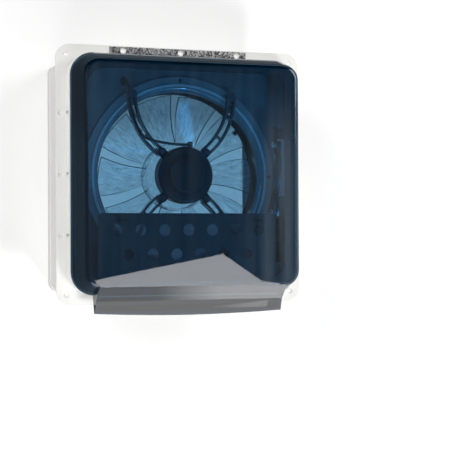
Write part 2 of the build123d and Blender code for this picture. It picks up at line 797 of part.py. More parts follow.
def tail_plan(inset):
    """A block whose rear face bows out like the tail's edge, drawn in by the inset."""
    with BuildPart() as plan:
        with BuildSketch():
            with BuildLine():
                edge_end = tail_tip[0] + tail_bow + inset
                ThreePointArc((-tail_half, edge_end), (0, tail_tip[0] + inset), (tail_half, edge_end))
                Polyline((tail_half, edge_end), (tail_half, 0), (-tail_half, 0), (-tail_half, edge_end))
            make_face()
        extrude(amount=lid_top)
    return plan.part


def lid_body(inset):
    """The lid's tapered body, made smaller by the inset on every side but its open rim."""
    with BuildPart() as body:
        with BuildSketch(Plane.XY.offset(rim_bottom)):
            side = 2 * (upstand_half - inset)
            RectangleRounded(side, side, lid_corner - inset)
        extrude(amount=lid_height - inset, taper=lid_taper)
        fillet(body.faces().sort_by(Axis.Z)[-1].edges(), lid_edge - inset)
    return body.part


lid_outside = lid_body(0)
lid_inside = lid_body(lid_wall)
with BuildPart() as tail_inside:
    with BuildSketch(Plane.YZ):
        Polygon(*shifted(tail_outline[:5], tail_shift, tail_shift),
                (tail_tip[0] + tail_shift, rim_bottom - lid_height),
                (tail_root, rim_bottom - lid_height), align=None)
    extrude(amount=tail_half - lid_wall, both=True)
    add(tail_plan(tail_shift), mode=Mode.INTERSECT)

with BuildPart() as lid_shell:
    with BuildSketch(Plane.YZ):
        Polygon(*tail_outline, align=None)
    extrude(amount=tail_half, both=True)
    add(tail_plan(0), mode=Mode.INTERSECT)
    add(tail_inside.part, mode=Mode.SUBTRACT)
    add(lid_outside)
    add(lid_inside, mode=Mode.SUBTRACT)
lid_shell.part.label = "lid_shell"
export_step(lid_shell.part, "parts/lid_shell.step")

# White liner under the tail: a tray with a sloping floor
liner_front = -(upstand_half + liner_start)
liner_foot = (-(upstand_half + liner_foot_reach), rim_bottom - liner_depth)
liner_break, liner_tip = shifted([tail_break, tail_tip], tail_shift + liner_gap, tail_shift + liner_gap)
liner_width = 2 * (tail_half - lid_wall - liner_gap)
with BuildPart() as liner_inside:
    with BuildSketch(Plane.YZ):
        Polygon((liner_front - liner_wall, liner_foot[1] + 3 * liner_wall),
                (liner_foot[0], liner_foot[1] + 2 * liner_wall),
                (liner_tip[0] + liner_wall, liner_tip[1] - liner_wall / 2),
                (liner_tip[0] + liner_wall, liner_break[1] + liner_wall),
                (liner_front - liner_wall, liner_break[1] + liner_wall), align=None)
    extrude(amount=liner_width / 2 - liner_wall, both=True)
    add(tail_plan(tail_shift + liner_gap + liner_wall), mode=Mode.INTERSECT)

with BuildPart() as tail_liner:
    with BuildSketch(Plane.YZ):
        Polygon((liner_front, liner_foot[1] + liner_wall), liner_foot, (liner_tip[0], liner_tip[1] - liner_wall),
                liner_tip, liner_break, (liner_front, liner_break[1]), align=None)
    extrude(amount=liner_width / 2, both=True)
    add(tail_plan(tail_shift + liner_gap), mode=Mode.INTERSECT)
    add(liner_inside.part, mode=Mode.SUBTRACT)
tail_liner.part.label = "tail_liner"
export_step(tail_liner.part, "parts/tail_liner.step")

# Track's slot: the path of the arm's pin as the lid sees it
arm_reach = hypot(arm_pin_front + arm_pivot_back, arm_pin_height - arm_pivot_height)
arm_rest = degrees(atan2(arm_pin_height - arm_pivot_height, arm_pin_front + arm_pivot_back))


def pin_in_lid(turn):
    """Where the arm's pin lies in the lid's own frame when the lid is open by this many degrees."""
    direction = radians(arm_rest + arm_ratio * turn)
    across = arm_pivot[0] + arm_reach * cos(direction) - hinge_y
    up = arm_pivot[1] + arm_reach * sin(direction) - hinge_z
    back = radians(turn)
    return (hinge_y + across * cos(back) - up * sin(back), hinge_z + across * sin(back) + up * cos(back))


slot_path = [pin_in_lid(lid_travel * step / slot_steps) for step in range(slot_steps + 1)]
slot_width = 2 * (guide_pin_radius + guide_clearance)
track_plane = arm_plane - track_gap - track_thickness
front_foot = slot_path[0][0] + track_foot_gap + track_foot / 2
rear_foot = slot_path[-1][0] - track_foot_gap - track_foot / 2

# Dark frame inside the lid: it carries the hinge leaves, the track and the baffle
frame_half = upstand_half - frame_side_inset
frame_corner = lid_corner - frame_side_inset
frame_inner_corner = frame_corner * (frame_half - frame_width) / frame_half
frame_top = frame_bottom + frame_thickness
tab_end = frame_half - track_tab
leaf_back = frame_half - leaf_length
hinge_places = (-hinge_spacing / 2, hinge_spacing / 2)
leaf_screw_places = [
    (x + side * leaf_screw_spread / 2, leaf_back + leaf_screw_inset) for x in hinge_places for side in (-1, 1)
]
track_screw_places = [(tab_end - track_screw_inset, foot) for foot in (rear_foot, front_foot)]
baffle_screw_places = [
    (step * baffle_screw_pitch, frame_width - frame_half - baffle_screw_inset) for step in (-1, 0, 1)
]
with BuildPart() as lid_frame:
    with BuildSketch(Plane.XY.offset(frame_bottom)):
        square_tube(frame_half, frame_corner, frame_half - frame_width, frame_inner_corner)
        with Locations(*leaf_screw_places, *track_screw_places, *baffle_screw_places):
            Circle(screw_shank / 2 + screw_fit, mode=Mode.SUBTRACT)
    extrude(amount=frame_thickness)
lid_frame.part.label = "lid_frame"
export_step(lid_frame.part, "parts/lid_frame.step")

# Perforated baffle under the frame's rear, and its two posts to the lid's ceiling
baffle_bottom = frame_bottom - baffle_thickness
baffle_half = frame_half - baffle_inset
baffle_rear = frame_half - frame_width / 2
with BuildPart() as baffle_plate:
    with BuildSketch(Plane.XY.offset(baffle_bottom)):
        with Locations((0, -(baffle_front + baffle_rear) / 2)):
            RectangleRounded(2 * baffle_half, baffle_rear - baffle_front, baffle_corner)
        for row, count in ((baffle_row_one, baffle_holes), (baffle_row_two, baffle_holes - 1)):
            with Locations((0, -row)):
                with GridLocations(baffle_pitch, baffle_pitch, count, 1):
                    Circle(baffle_hole / 2, mode=Mode.SUBTRACT)
        with Locations(*baffle_screw_places):
            Circle(screw_shank / 2 + screw_fit, mode=Mode.SUBTRACT)
    extrude(amount=baffle_thickness)
baffle_plate.part.label = "baffle_plate"
export_step(baffle_plate.part, "parts/baffle_plate.step")

with BuildPart() as baffle_posts:
    with BuildSketch(Plane.XY.offset(frame_bottom)):
        with Locations((0, -(baffle_front + post_inset))):
            with GridLocations(post_spacing, post_spacing, 2, 1):
                Circle(post_radius)
    extrude(amount=lid_top - lid_wall - frame_bottom)
baffle_posts.part.label = "baffle_posts"
export_step(baffle_posts.part, "parts/baffle_posts.step")

baffle_screws = small_screws(
    [Location((x, y, baffle_bottom), (180, 0, 0)) for x, y in baffle_screw_places],
    screw_shank, screw_head, screw_head_height, baffle_thickness + frame_thickness,
)
baffle_screws.part.label = "baffle_screws"
export_step(baffle_screws.part, "parts/baffle_screws.step")

# Hinges inside the front edge: brackets on the housing wall, leaves on the lid frame, pins between
hinge_line = Plane(origin=(0, hinge_y, hinge_z), x_dir=(0, 1, 0), z_dir=(1, 0, 0))
bracket_half = leaf_knuckle / 2 + knuckle_gap + bracket_knuckle
with BuildPart() as hinge_brackets:
    for x in hinge_places:
        with BuildSketch(Plane.XZ.offset(-duct_half)):
            with Locations((x, (bracket_foot + hinge_z) / 2)):
                Rectangle(2 * bracket_half, hinge_z - bracket_foot)
            with Locations((x, hinge_z)):
                Rectangle(leaf_knuckle + 2 * knuckle_gap, 4 * knuckle_radius, mode=Mode.SUBTRACT)
        extrude(amount=bracket_plate)
        for side in (-1, 1):
            with BuildSketch(hinge_line.offset(x + side * (leaf_knuckle / 2 + knuckle_gap))):
                Circle(knuckle_radius)
            extrude(amount=side * bracket_knuckle)
    with BuildSketch(hinge_line.offset(-housing_half)):
        Circle(hinge_pin_radius + hinge_pin_clearance)
    extrude(amount=2 * housing_half, mode=Mode.SUBTRACT)
    with Locations(*side_places):
        Cylinder(side_screw_shank / 2 + screw_fit, 2 * side_screw_length, mode=Mode.SUBTRACT)
hinge_brackets.part.label = "hinge_brackets"
export_step(hinge_brackets.part, "parts/hinge_brackets.step")

with BuildPart() as hinge_pins:
    for x in hinge_places:
        with BuildSketch(hinge_line.offset(x - bracket_half)):
            Circle(hinge_pin_radius)
        extrude(amount=2 * bracket_half)
        for side in (-1, 1):
            with BuildSketch(hinge_line.offset(x + side * bracket_half)):
                Circle(pin_head_radius)
            extrude(amount=side * pin_head_length)
hinge_pins.part.label = "hinge_pins"
export_step(hinge_pins.part, "parts/hinge_pins.step")

leaf_front = hinge_y - leaf_neck
with BuildPart() as hinge_leaves:
    for x in hinge_places:
        with BuildSketch(Plane.XY.offset(frame_bottom - leaf_plate)):
            with Locations((x, (leaf_back + leaf_front) / 2)):
                Rectangle(leaf_width, leaf_front - leaf_back)
            with Locations((x, (leaf_back + hinge_y) / 2)):
                Rectangle(leaf_knuckle, hinge_y - leaf_back)
            with Locations(*leaf_screw_places):
                Circle(screw_shank / 2 + screw_fit, mode=Mode.SUBTRACT)
        extrude(amount=leaf_plate)
        with BuildSketch(hinge_line.offset(x - leaf_knuckle / 2)):
            Circle(knuckle_radius)
        extrude(amount=leaf_knuckle)
    with BuildSketch(hinge_line.offset(-housing_half)):
        Circle(hinge_pin_radius + hinge_pin_clearance)
    extrude(amount=2 * housing_half, mode=Mode.SUBTRACT)
hinge_leaves.part.label = "hinge_leaves"
export_step(hinge_leaves.part, "parts/hinge_leaves.step")

leaf_screws = small_screws(
    [Location((x, y, frame_bottom - leaf_plate), (180, 0, 0)) for x, y in leaf_screw_places],
    screw_shank, screw_head, screw_head_height, leaf_plate + frame_thickness,
)
leaf_screws.part.label = "leaf_screws"
export_step(leaf_screws.part, "parts/leaf_screws.step")

# Slotted track on the lid frame
with BuildPart() as cam_track:
    with BuildSketch(Plane.YZ.offset(track_plane)):
        with BuildLine():
            Spline(*slot_path)
        trace(line_width=slot_width + 2 * track_border)
        with Locations(slot_path[0], slot_path[-1]):
            Circle(slot_width / 2 + track_border)
        with Locations((front_foot, frame_top), (rear_foot, frame_top)):
            Rectangle(track_foot, slot_width + track_border)
    extrude(amount=track_thickness)
    with BuildSketch(Plane.YZ.offset(track_plane)):
        with BuildLine():
            Spline(*slot_path)
        trace(line_width=slot_width)
        with Locations(slot_path[0], slot_path[-1]):
            Circle(slot_width / 2)
    extrude(amount=track_thickness, mode=Mode.SUBTRACT)
    with BuildSketch(Plane.XY.offset(frame_top)):
        with Locations(*[((track_plane + tab_end) / 2, foot) for foot in (front_foot, rear_foot)]):
            Rectangle(tab_end - track_plane, track_foot - 2 * track_tab)
        with Locations(*track_screw_places):
            Circle(screw_shank / 2 + screw_fit, mode=Mode.SUBTRACT)
    extrude(amount=track_tab)
cam_track.part.label = "cam_track"
export_step(cam_track.part, "parts/cam_track.step")

track_screws = small_screws(
    [Location((x, y, frame_top + track_tab)) for x, y in track_screw_places],
    screw_shank, screw_head, screw_head_height, track_tab + frame_thickness,
)
track_screws.part.label = "track_screws"
export_step(track_screws.part, "parts/track_screws.step")


def gear_points(teeth, centre, aim, first, last, tooth_at_aim):
    """Involute outline of some teeth of a gear, as (y, z) points. A tooth, or a gap, lies at the aim."""
    pitch = gear_module * teeth / 2
    base = pitch * cos(radians(pressure_angle))
    tip = pitch + gear_addendum_share * gear_module
    root = pitch - gear_dedendum_share * gear_module
    involute_at_pitch = tan(radians(pressure_angle)) - radians(pressure_angle)
    half_tooth = pi / (2 * teeth) - gear_backlash / (2 * pitch) + involute_at_pitch
    points = []
    for tooth in range(first, last + 1):
        middle = radians(aim) + 2 * pi * (tooth + (0 if tooth_at_aim else 0.5)) / teeth
        flank = [(root, half_tooth)]
        for step in range(4):
            radius = max(base, root) + (tip - max(base, root)) * step / 3
            turn = acos(base / radius)
            flank.append((radius, half_tooth - (tan(turn) - turn)))
        for radius, angle in flank:
            points.append((radius, middle - angle))
        for radius, angle in reversed(flank):
            points.append((radius, middle + angle))
    return [(centre[0] + radius * cos(angle), centre[1] + radius * sin(angle)) for radius, angle in points]


arm_travel = arm_ratio * lid_travel
tooth_step = 360 / sector_teeth
teeth_before = -ceil((arm_travel + sector_spare) / tooth_step)
teeth_after = ceil(sector_spare / tooth_step)
arm_middle = ((arm_pivot[0] + arm_pin_front) / 2, (arm_pivot[1] + arm_pin_height) / 2)
with BuildPart() as lift_arm:
    with BuildSketch(Plane.YZ.offset(arm_plane)):
        with BuildSketch(mode=Mode.PRIVATE) as arm_ends:
            with Locations(arm_pivot):
                Circle(arm_hub_radius)
            with Locations((arm_pin_front, arm_pin_height)):
                Circle(arm_tip_radius)
        make_hull(arm_ends.sketch.edges())
        Polygon(
            arm_pivot, *gear_points(sector_teeth, arm_pivot, mesh_angle, teeth_before, teeth_after, True),
            align=None,
        )
        with Locations(Location(arm_middle, arm_rest)):
            arm_slot = arm_reach - 2 * (arm_hub_radius + arm_slot_margin)
            SlotCenterToCenter(arm_slot, arm_slot_width, mode=Mode.SUBTRACT)
        with Locations(arm_pivot):
            Circle(pivot_pin_radius + pivot_clearance, mode=Mode.SUBTRACT)
        with Locations((arm_pin_front, arm_pin_height)):
            Circle(guide_pin_radius, mode=Mode.SUBTRACT)
    extrude(amount=arm_thickness)
lift_arm.part.label = "lift_arm"
export_step(lift_arm.part, "parts/lift_arm.step")

guide_line = Plane(origin=(0, arm_pin_front, arm_pin_height), x_dir=(0, 1, 0), z_dir=(1, 0, 0))
guide_start = track_plane - guide_clearance
with BuildPart() as guide_pin:
    with BuildSketch(guide_line.offset(guide_start)):
        Circle(guide_pin_radius)
    extrude(amount=arm_plane + arm_thickness - guide_start)
    with BuildSketch(guide_line.offset(guide_start)):
        Circle(guide_head_radius)
    extrude(amount=-guide_head_length)
guide_pin.part.label = "guide_pin"
export_step(guide_pin.part, "parts/guide_pin.step")

# Bracket on the deck and the pivot pin that the arm turns on
pivot_line = Plane(origin=(0, *arm_pivot), x_dir=(0, 1, 0), z_dir=(1, 0, 0))
with BuildPart() as lift_bracket:
    with BuildSketch(Plane.YZ.offset(cheek_plane)):
        with BuildSketch(mode=Mode.PRIVATE) as cheek_ends:
            with Locations(arm_pivot):
                Circle(arm_hub_radius)
            with Locations((arm_pivot[0], deck_top + cheek_thickness / 2)):
                Rectangle(2 * cheek_half, cheek_thickness)
        make_hull(cheek_ends.sketch.edges())
        with Locations(arm_pivot):
            Circle(pivot_pin_radius, mode=Mode.SUBTRACT)
    extrude(amount=cheek_thickness)
    with BuildSketch(Plane.XY.offset(deck_top)):
        with Locations((cheek_plane + bracket_base / 2, arm_pivot[0])):
            Rectangle(bracket_base, 2 * cheek_half)
    extrude(amount=cheek_thickness)
    with Locations(*bracket_screw_places):
        Cylinder(screw_shank / 2 + screw_fit, 3 * cheek_thickness, mode=Mode.SUBTRACT)
lift_bracket.part.label = "lift_bracket"
export_step(lift_bracket.part, "parts/lift_bracket.step")

with BuildPart() as arm_pivot_pin:
    with BuildSketch(pivot_line.offset(arm_plane - guide_clearance)):
        Circle(pivot_pin_radius)
    extrude(amount=cheek_plane + cheek_thickness - arm_plane + guide_clearance)
    with BuildSketch(pivot_line.offset(arm_plane - guide_clearance)):
        Circle(guide_head_radius)
    extrude(amount=-guide_head_length)
    with BuildSketch(pivot_line.offset(arm_plane + arm_thickness + guide_clearance)):
        Circle(guide_head_radius)
    extrude(amount=bracket_gap - guide_clearance)
arm_pivot_pin.part.label = "arm_pivot_pin"
export_step(arm_pivot_pin.part, "parts/arm_pivot_pin.step")

# Drive pinion, its gearbox and the lift motor
pinion_line = Plane(origin=(0, *pinion_centre), x_dir=(0, 1, 0), z_dir=(1, 0, 0))
with BuildPart() as drive_pinion:
    with BuildSketch(Plane.YZ.offset(arm_plane)):
        Polygon(
            *gear_points(pinion_teeth, pinion_centre, mesh_angle + 180, 0, pinion_teeth - 1, False),
            align=None,
        )
    extrude(amount=arm_thickness)
    with BuildSketch(pinion_line.offset(arm_plane - pinion_collar)):
        Circle(pivot_pin_radius)
    extrude(amount=pinion_collar + arm_thickness + bracket_gap + pinion_depth)
drive_pinion.part.label = "drive_pinion"
export_step(drive_pinion.part, "parts/drive_pinion.step")

with BuildPart() as lift_gearbox:
    with BuildSketch(Plane.XY.offset(deck_top)):
        with Locations((gearbox_x, gearbox_middle)):
            RectangleRounded(gearbox_width, gearbox_length, gearbox_edge)
    extrude(amount=gearbox_height)
    fillet(lift_gearbox.faces().sort_by(Axis.Z)[-1].edges(), gearbox_edge / 2)
    with BuildSketch(pinion_line.offset(cheek_plane)):
        Circle(pivot_pin_radius + pivot_clearance)
    extrude(amount=pinion_depth + cut_overrun, mode=Mode.SUBTRACT)
    with Locations(*[(x, y, deck_top) for x, y in gearbox_screw_places]):
        Cylinder(screw_shank / 2 + screw_fit, 2 * (gearbox_screw_grip + cut_overrun), mode=Mode.SUBTRACT)
lift_gearbox.part.label = "lift_gearbox"
export_step(lift_gearbox.part, "parts/lift_gearbox.step")

gearbox_screws = small_screws(
    [Location((x, y, deck_top - deck_thickness), (180, 0, 0)) for x, y in gearbox_screw_places],
    screw_shank, screw_head, screw_head_height, deck_thickness + gearbox_screw_grip,
)
gearbox_screws.part.label = "gearbox_screws"
export_step(gearbox_screws.part, "parts/gearbox_screws.step")

bracket_screws = small_screws(
    [Location((x, y, deck_top - deck_thickness), (180, 0, 0)) for x, y in bracket_screw_places],
    screw_shank, screw_head, screw_head_height, deck_thickness + cheek_thickness,
)
bracket_screws.part.label = "bracket_screws"
export_step(bracket_screws.part, "parts/bracket_screws.step")

with BuildPart() as lift_motor:
    with BuildSketch(Plane.XZ.offset(gearbox_length - gearbox_end)):
        with Locations((gearbox_x, deck_top + lift_motor_float + lift_motor_radius)):
            Circle(lift_motor_radius)
    extrude(amount=lift_motor_length)
    fillet(lift_motor.faces().sort_by(Axis.Y)[0].edges(), lift_motor_edge)
lift_motor.part.label = "lift_motor"
export_step(lift_motor.part, "parts/lift_motor.step")

# Control unit on the deck: cover with posts, board, fuse holder and fuse
cover_x = duct_half - cover_inset - cover_width / 2
cover_y = (cover_front - cover_back) / 2
cover_length = cover_front + cover_back
board_bottom = deck_top + board_height
board_top = board_bottom + board_thickness
board_width = cover_width - 2 * cover_wall - 2 * board_gap
board_length = cover_length - 2 * cover_wall - 2 * board_gap
with BuildPart() as control_cover:
    with BuildSketch(Plane.XY.offset(deck_top)):
        with Locations((cover_x, cover_y)):
            RectangleRounded(cover_width, cover_length, cover_edge)
    extrude(amount=cover_height)
    fillet(control_cover.faces().sort_by(Axis.Z)[-1].edges(), cover_edge / 2)
    with BuildSketch(Plane.XY.offset(deck_top)):
        with Locations((cover_x, cover_y)):
            Rectangle(cover_width - 2 * cover_wall, cover_length - 2 * cover_wall)
    extrude(amount=cover_height - cover_wall, mode=Mode.SUBTRACT)
    with BuildSketch(Plane.XY.offset(board_top)):
        with Locations((cover_x, cover_y)):
            with GridLocations(board_width - 2 * board_post_inset, board_length - 2 * board_post_inset, 2, 2):
                Circle(board_post)
    extrude(amount=deck_top + cover_height - cover_wall - board_top)
control_cover.part.label = "control_cover"
export_step(control_cover.part, "parts/control_cover.step")

with BuildPart() as circuit_board:
    with BuildSketch(Plane.XY.offset(board_bottom)):
        with Locations((cover_x, cover_y)):
            Rectangle(board_width, board_length)
    extrude(amount=board_thickness)
circuit_board.part.label = "circuit_board"
export_step(circuit_board.part, "parts/circuit_board.step")

fuse_z = board_top + holder_base + fuse_radius
fuse_y = holder_length / 2 - holder_back
with BuildPart() as fuse_holder:
    with BuildSketch(Plane.XY.offset(board_top)):
        with Locations((cover_x, fuse_y)):
            Rectangle(holder_width, holder_length)
    extrude(amount=holder_base + fuse_radius)
    with BuildSketch(Plane.XY.offset(board_top + holder_base)):
        with Locations((cover_x, fuse_y)):
            Rectangle(holder_width, holder_length - 2 * holder_jaw)
    extrude(amount=fuse_radius, mode=Mode.SUBTRACT)
    with BuildSketch(Plane.XZ.offset(-fuse_y)):
        with Locations((cover_x, fuse_z)):
            Circle(fuse_radius + fuse_fit)
    extrude(amount=fuse_length / 2 + fuse_fit, both=True, mode=Mode.SUBTRACT)
fuse_holder.part.label = "fuse_holder"
export_step(fuse_holder.part, "parts/fuse_holder.step")

with BuildPart() as glass_fuse:
    with BuildSketch(Plane.XZ.offset(-fuse_y)):
        with Locations((cover_x, fuse_z)):
            Circle(fuse_radius)
    extrude(amount=fuse_length / 2, both=True)
glass_fuse.part.label = "glass_fuse"
export_step(glass_fuse.part, "parts/glass_fuse.step")

# Insect screen: frame under the ledge, two layers of strands in its groove, screws up into the ledge
screen_bottom = ledge_height - housing_depth - screen_thickness
mesh_bottom = screen_bottom + (screen_thickness - mesh_thickness) / 2
groove_half = screen_half + mesh_groove
window_y = -(screen_half + deck_half) / 2
with BuildPart() as screen_frame:
    with BuildSketch(Plane.XY.offset(screen_bottom)):
        square_tube(deck_half, deck_corner, screen_half, screen_corner)
    extrude(amount=screen_thickness)
    with BuildSketch(Plane.XY.offset(mesh_bottom - mesh_fit)):
        RectangleRounded(2 * groove_half, 2 * groove_half, screen_corner + mesh_groove)
    extrude(amount=mesh_thickness + 2 * mesh_fit, mode=Mode.SUBTRACT)
    with Locations((0, window_y)):
        Cylinder(window_radius, 3 * housing_depth, mode=Mode.SUBTRACT)
    with Locations(*screen_screw_places):
        Cylinder(screw_shank / 2 + screw_fit, 3 * housing_depth, mode=Mode.SUBTRACT)
screen_frame.part.label = "screen_frame"
export_step(screen_frame.part, "parts/screen_frame.step")

screen_screws = small_screws(
    [Location((x, y, screen_bottom), (180, 0, 0)) for x, y in screen_screw_places],
    screw_shank, screw_head, screw_head_height, screen_thickness + ledge_thickness,
)
screen_screws.part.label = "screen_screws"
export_step(screen_screws.part, "parts/screen_screws.step")

mesh_pitch = 2 * screen_half / mesh_count
with BuildPart() as insect_mesh:
    for layer, turned in enumerate((0, 90)):
        with BuildSketch(Plane.XY.offset(mesh_bottom + layer * mesh_thickness / 2)):
            with Locations(Location((0, 0), turned)):
                with GridLocations(mesh_pitch, mesh_pitch, mesh_count - 1, 1):
                    Rectangle(mesh_bar, 2 * (groove_half - mesh_fit))
        extrude(amount=mesh_thickness / 2 - mesh_gap)
insect_mesh.part.label = "insect_mesh"
export_step(insect_mesh.part, "parts/insect_mesh.step")

with BuildPart() as signal_window:
    with BuildSketch(Plane.XY.offset(screen_bottom - window_bulge)):
        with Locations((0, window_y)):
            Circle(window_radius - window_fit)
    extrude(amount=screen_thickness + window_bulge)
    fillet(signal_window.faces().sort_by(Axis.Z)[0].edges(), window_bulge / 2)
signal_window.part.label = "signal_window"
export_step(signal_window.part, "parts/signal_window.step")

# Air sensor under the foot of the ring's barrel
with BuildPart() as air_sensor:
    with BuildSketch(Plane.XY.offset(deck_top - ring_depth - sensor_height)):
        with Locations(Location((0, 0), sensor_angle)):
            with Locations((throat_radius + ring_wall - sensor_depth / 2, 0)):
                RectangleRounded(sensor_depth, sensor_width, sensor_depth / 4)
    extrude(amount=sensor_height)
air_sensor.part.label = "air_sensor"
export_step(air_sensor.part, "parts/air_sensor.step")
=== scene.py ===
"""Caravan roof vent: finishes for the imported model, the pieces that it leaves to looks, and the studio."""

import math

import bpy
from mathutils import Matrix, Vector


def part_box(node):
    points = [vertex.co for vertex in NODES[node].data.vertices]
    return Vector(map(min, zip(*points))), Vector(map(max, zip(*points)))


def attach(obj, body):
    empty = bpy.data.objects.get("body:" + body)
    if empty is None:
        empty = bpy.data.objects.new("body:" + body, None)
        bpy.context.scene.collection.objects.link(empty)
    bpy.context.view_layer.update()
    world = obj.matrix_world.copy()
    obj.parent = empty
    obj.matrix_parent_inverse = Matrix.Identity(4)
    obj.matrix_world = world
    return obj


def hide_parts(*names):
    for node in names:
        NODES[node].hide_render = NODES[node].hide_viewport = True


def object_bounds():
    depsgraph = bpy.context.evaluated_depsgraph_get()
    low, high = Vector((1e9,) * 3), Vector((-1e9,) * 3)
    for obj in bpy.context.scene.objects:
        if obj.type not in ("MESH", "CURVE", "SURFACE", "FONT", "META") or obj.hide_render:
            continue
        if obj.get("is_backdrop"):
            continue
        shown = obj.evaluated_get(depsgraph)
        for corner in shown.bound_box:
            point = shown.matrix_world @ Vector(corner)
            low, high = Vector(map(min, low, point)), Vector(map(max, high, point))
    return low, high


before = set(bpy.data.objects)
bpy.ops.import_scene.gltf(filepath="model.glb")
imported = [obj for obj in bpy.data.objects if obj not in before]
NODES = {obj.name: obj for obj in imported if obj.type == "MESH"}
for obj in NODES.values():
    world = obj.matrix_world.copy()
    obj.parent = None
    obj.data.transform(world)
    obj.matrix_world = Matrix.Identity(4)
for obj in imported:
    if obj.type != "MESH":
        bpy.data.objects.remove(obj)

bl_info = {
    "name": "Caravan Roof Vent",
    "version": (1, 0, 0),
    "blender": (4, 5, 0),
    "location": "3D View > Sidebar > Roof Vent",
    "description": "Dresses the packed roof vent: finishes, seal, insect mesh, screw recesses, foil and studio",
    "category": "Object",
}

MM = 0.001
QUARTER_TURN = math.radians(90)
WHITE = (1.0, 1.0, 1.0, 1.0)
BLACK = (0.0, 0.0, 0.0, 1.0)
DUST_COLOR = (0.46, 0.44, 0.41, 1.0)
CARD_COLOR = (0.985, 0.98, 0.985, 1.0)

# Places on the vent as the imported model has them, in millimetres
WALL_FACE = 200.8                # outside of the upstand
SIDE_SCREW_Z = 18.0
SCREW_PITCH = 102.0              # between neighbouring screws of a side
HEAD_HEIGHT = 2.2                # of a raised screw head
FLANGE_TOP = 3.5
FLANGE_SCREW_REACH = 210.0       # from the middle to a row of screws
RING_TOP = 0.0
RING_SCREW_REACH = 163.5
MOTOR_SCREW_REACH = 39.4         # along X and along Y
MOTOR_SCREW_TOP = 24.0
HUB_RADIUS = 59.5

# Where a finish changes, in millimetres
THROAT_SHADE = (-20.0, -4.0)     # heights in the fan ring's throat, from painted shade to plain
BEAD_EDGES = (154.4, 156.6)      # radii of the edges of the ring's bead, where highlights are painted
BEAD_HIGHLIGHT_REACH = 0.7                   # reach of a painted highlight to each side of an edge
LID_SHOULDER = (66.0, 76.0)      # heights on the lid's walls, dark to clear
TAIL_START = (-206.0, -196.0)    # Y, dark in the lid's tail to clear in front of it

# Shares of a finish's colour
# share of the colour left by the painted shade at the bottom of the fan ring's throat
THROAT_PAINTED_SHADE = 0.30
BEAD_HIGHLIGHT = 1.7            # painted highlight, added on the edges of the bead
WALL_CLEARNESS = 0.32            # of the lid's tint, in its walls and sloping faces
TAIL_CLEARNESS = 0.25
LEVEL_ENOUGH = (0.90, 0.997)     # upward part of the lid's normal, from sloping to flat
BLADE_STREAKS = (26.0, 60.0, 1.0)                # per radian round the fan, and per metre outwards
BLADE_CONTRAST = ((0.38, 0.60), (0.84, 1.04))    # noise values, and the shares of the tint there

# The pieces that are made here, in millimetres
WEAVE_INSET = 0.3                # wires' ends inside the frame of the insect mesh
MERGE_REACH = 0.002              # below which points of a copied mesh are one
RIM_ANGLE = math.radians(50)     # a blade's edge is a rim where its faces turn by more
SHADE_MARGIN_X, SHADE_MARGIN_Y = 2.5, 8.0    # tail shade inside the tail liner
SHADE_HEIGHT, SHADE_RISE = 45.5, 9.0         # at its outer edge, and from there to its inner edge
SHADE_THICKNESS = 0.4
GAUZE_THICKNESS, GAUZE_DROP = 0.3, 0.2       # and how far its middle is below the baffle
SEAL_INSET = 2.5                 # wall face to the seal's middle line
SEAL_CORNER = 36.3               # radius of that line at the corners
SEAL_CORNER_STEPS = 12
SEAL_END_GAP = 0.05
LIP_OUTLINE = [(-2.4, 0.0), (2.4, 0.0), (2.4, 1.6), (1.5, 2.2), (2.3, 3.2), (2.4, 4.4), (1.7, 5.4),
               (0.5, 5.95), (-0.8, 5.8), (-1.9, 5.0), (-2.35, 3.8), (-2.1, 2.8), (-1.4, 2.2), (-2.4, 1.6)]
FOIL_LEFT, FOIL_RIGHT = -126.0, 119.0
FOIL_INNER, FOIL_OUTER = 203.5, 216.6
FOIL_LIFT = 0.02                 # above the flange
FOIL_HOLE = 5.3                  # radius
SIDE_HEAD, RING_HEAD, MOTOR_HEAD = 3.2, 3.0, 4.0     # radii of the screw heads
RECESS_LENGTH = 1.2              # of a cross's arms, in head radii
RECESS_HEIGHT = 0.1

# Camera: turns in degrees, and the vent's origin as the camera sees it
YAW, PITCH, ROLL = 20.1, -0.56, 0.3
SHIFT = Vector((-85.0, 92.8, -2290.0)) * MM
SENSOR_WIDTH = 36.0
VIEW_DEPTH = 50.0

# Lamps: name, place in metres, size, power, share of that power, seen by shiny pieces
LAMPS = (
    ("key_lamp", (-1.9, 1.1, 1.7), 1.5, "key_power", 1.0, False),
    ("side_lamp", (2.0, 1.0, 1.3), 1.4, "fill_power", 1.3, True),
    ("front_lamp", (-0.5, -2.2, 1.2), 1.4, "fill_power", 1.0, True),
    ("glint_lamp", (0.7, -1.3, 1.9), 0.35, "glint_power", 1.0, True),
)

# Floor, in metres and grey values
FLOOR_SIZE = 16.0
FLOOR_GLOW = 0.19                # what brings the floor that the camera sees up to white
FLOOR_IN_MIRRORS = 0.06          # colour of the floor in shiny pieces
PAINTED_FLOOR_SHADOW = (0.055, 0.13)     # Y, between which a painted shadow dims the floor as seen through clear pieces
PAINTED_FLOOR_SHADOW_LEVEL = 0.5

# Surroundings by direction: two places along an axis, and the levels there
OVERHEAD = ((0.35, 0.9), (0.35, 0.05))           # Z, what lights the vent
ROOM = ((0.23, 0.30), (0.24, 0.14))              # X, what shiny pieces mirror, as all that follow
HAZE_ACROSS = ((0.345, 0.385), (0.0, 0.62))      # X
HAZE_ALONG = ((0.12, 0.05), (0.0, 1.0))          # Y
DARK_FRONT = ((0.28, 0.15), (0.04, 1.0))         # Y
ROOM_STREAKS = (150.0, 5.0, 0.0)                 # streaks per unit of direction
STREAK_CONTRAST = ((0.35, 0.65), (0.40, 1.50))   # noise values, and the shares of the room's level

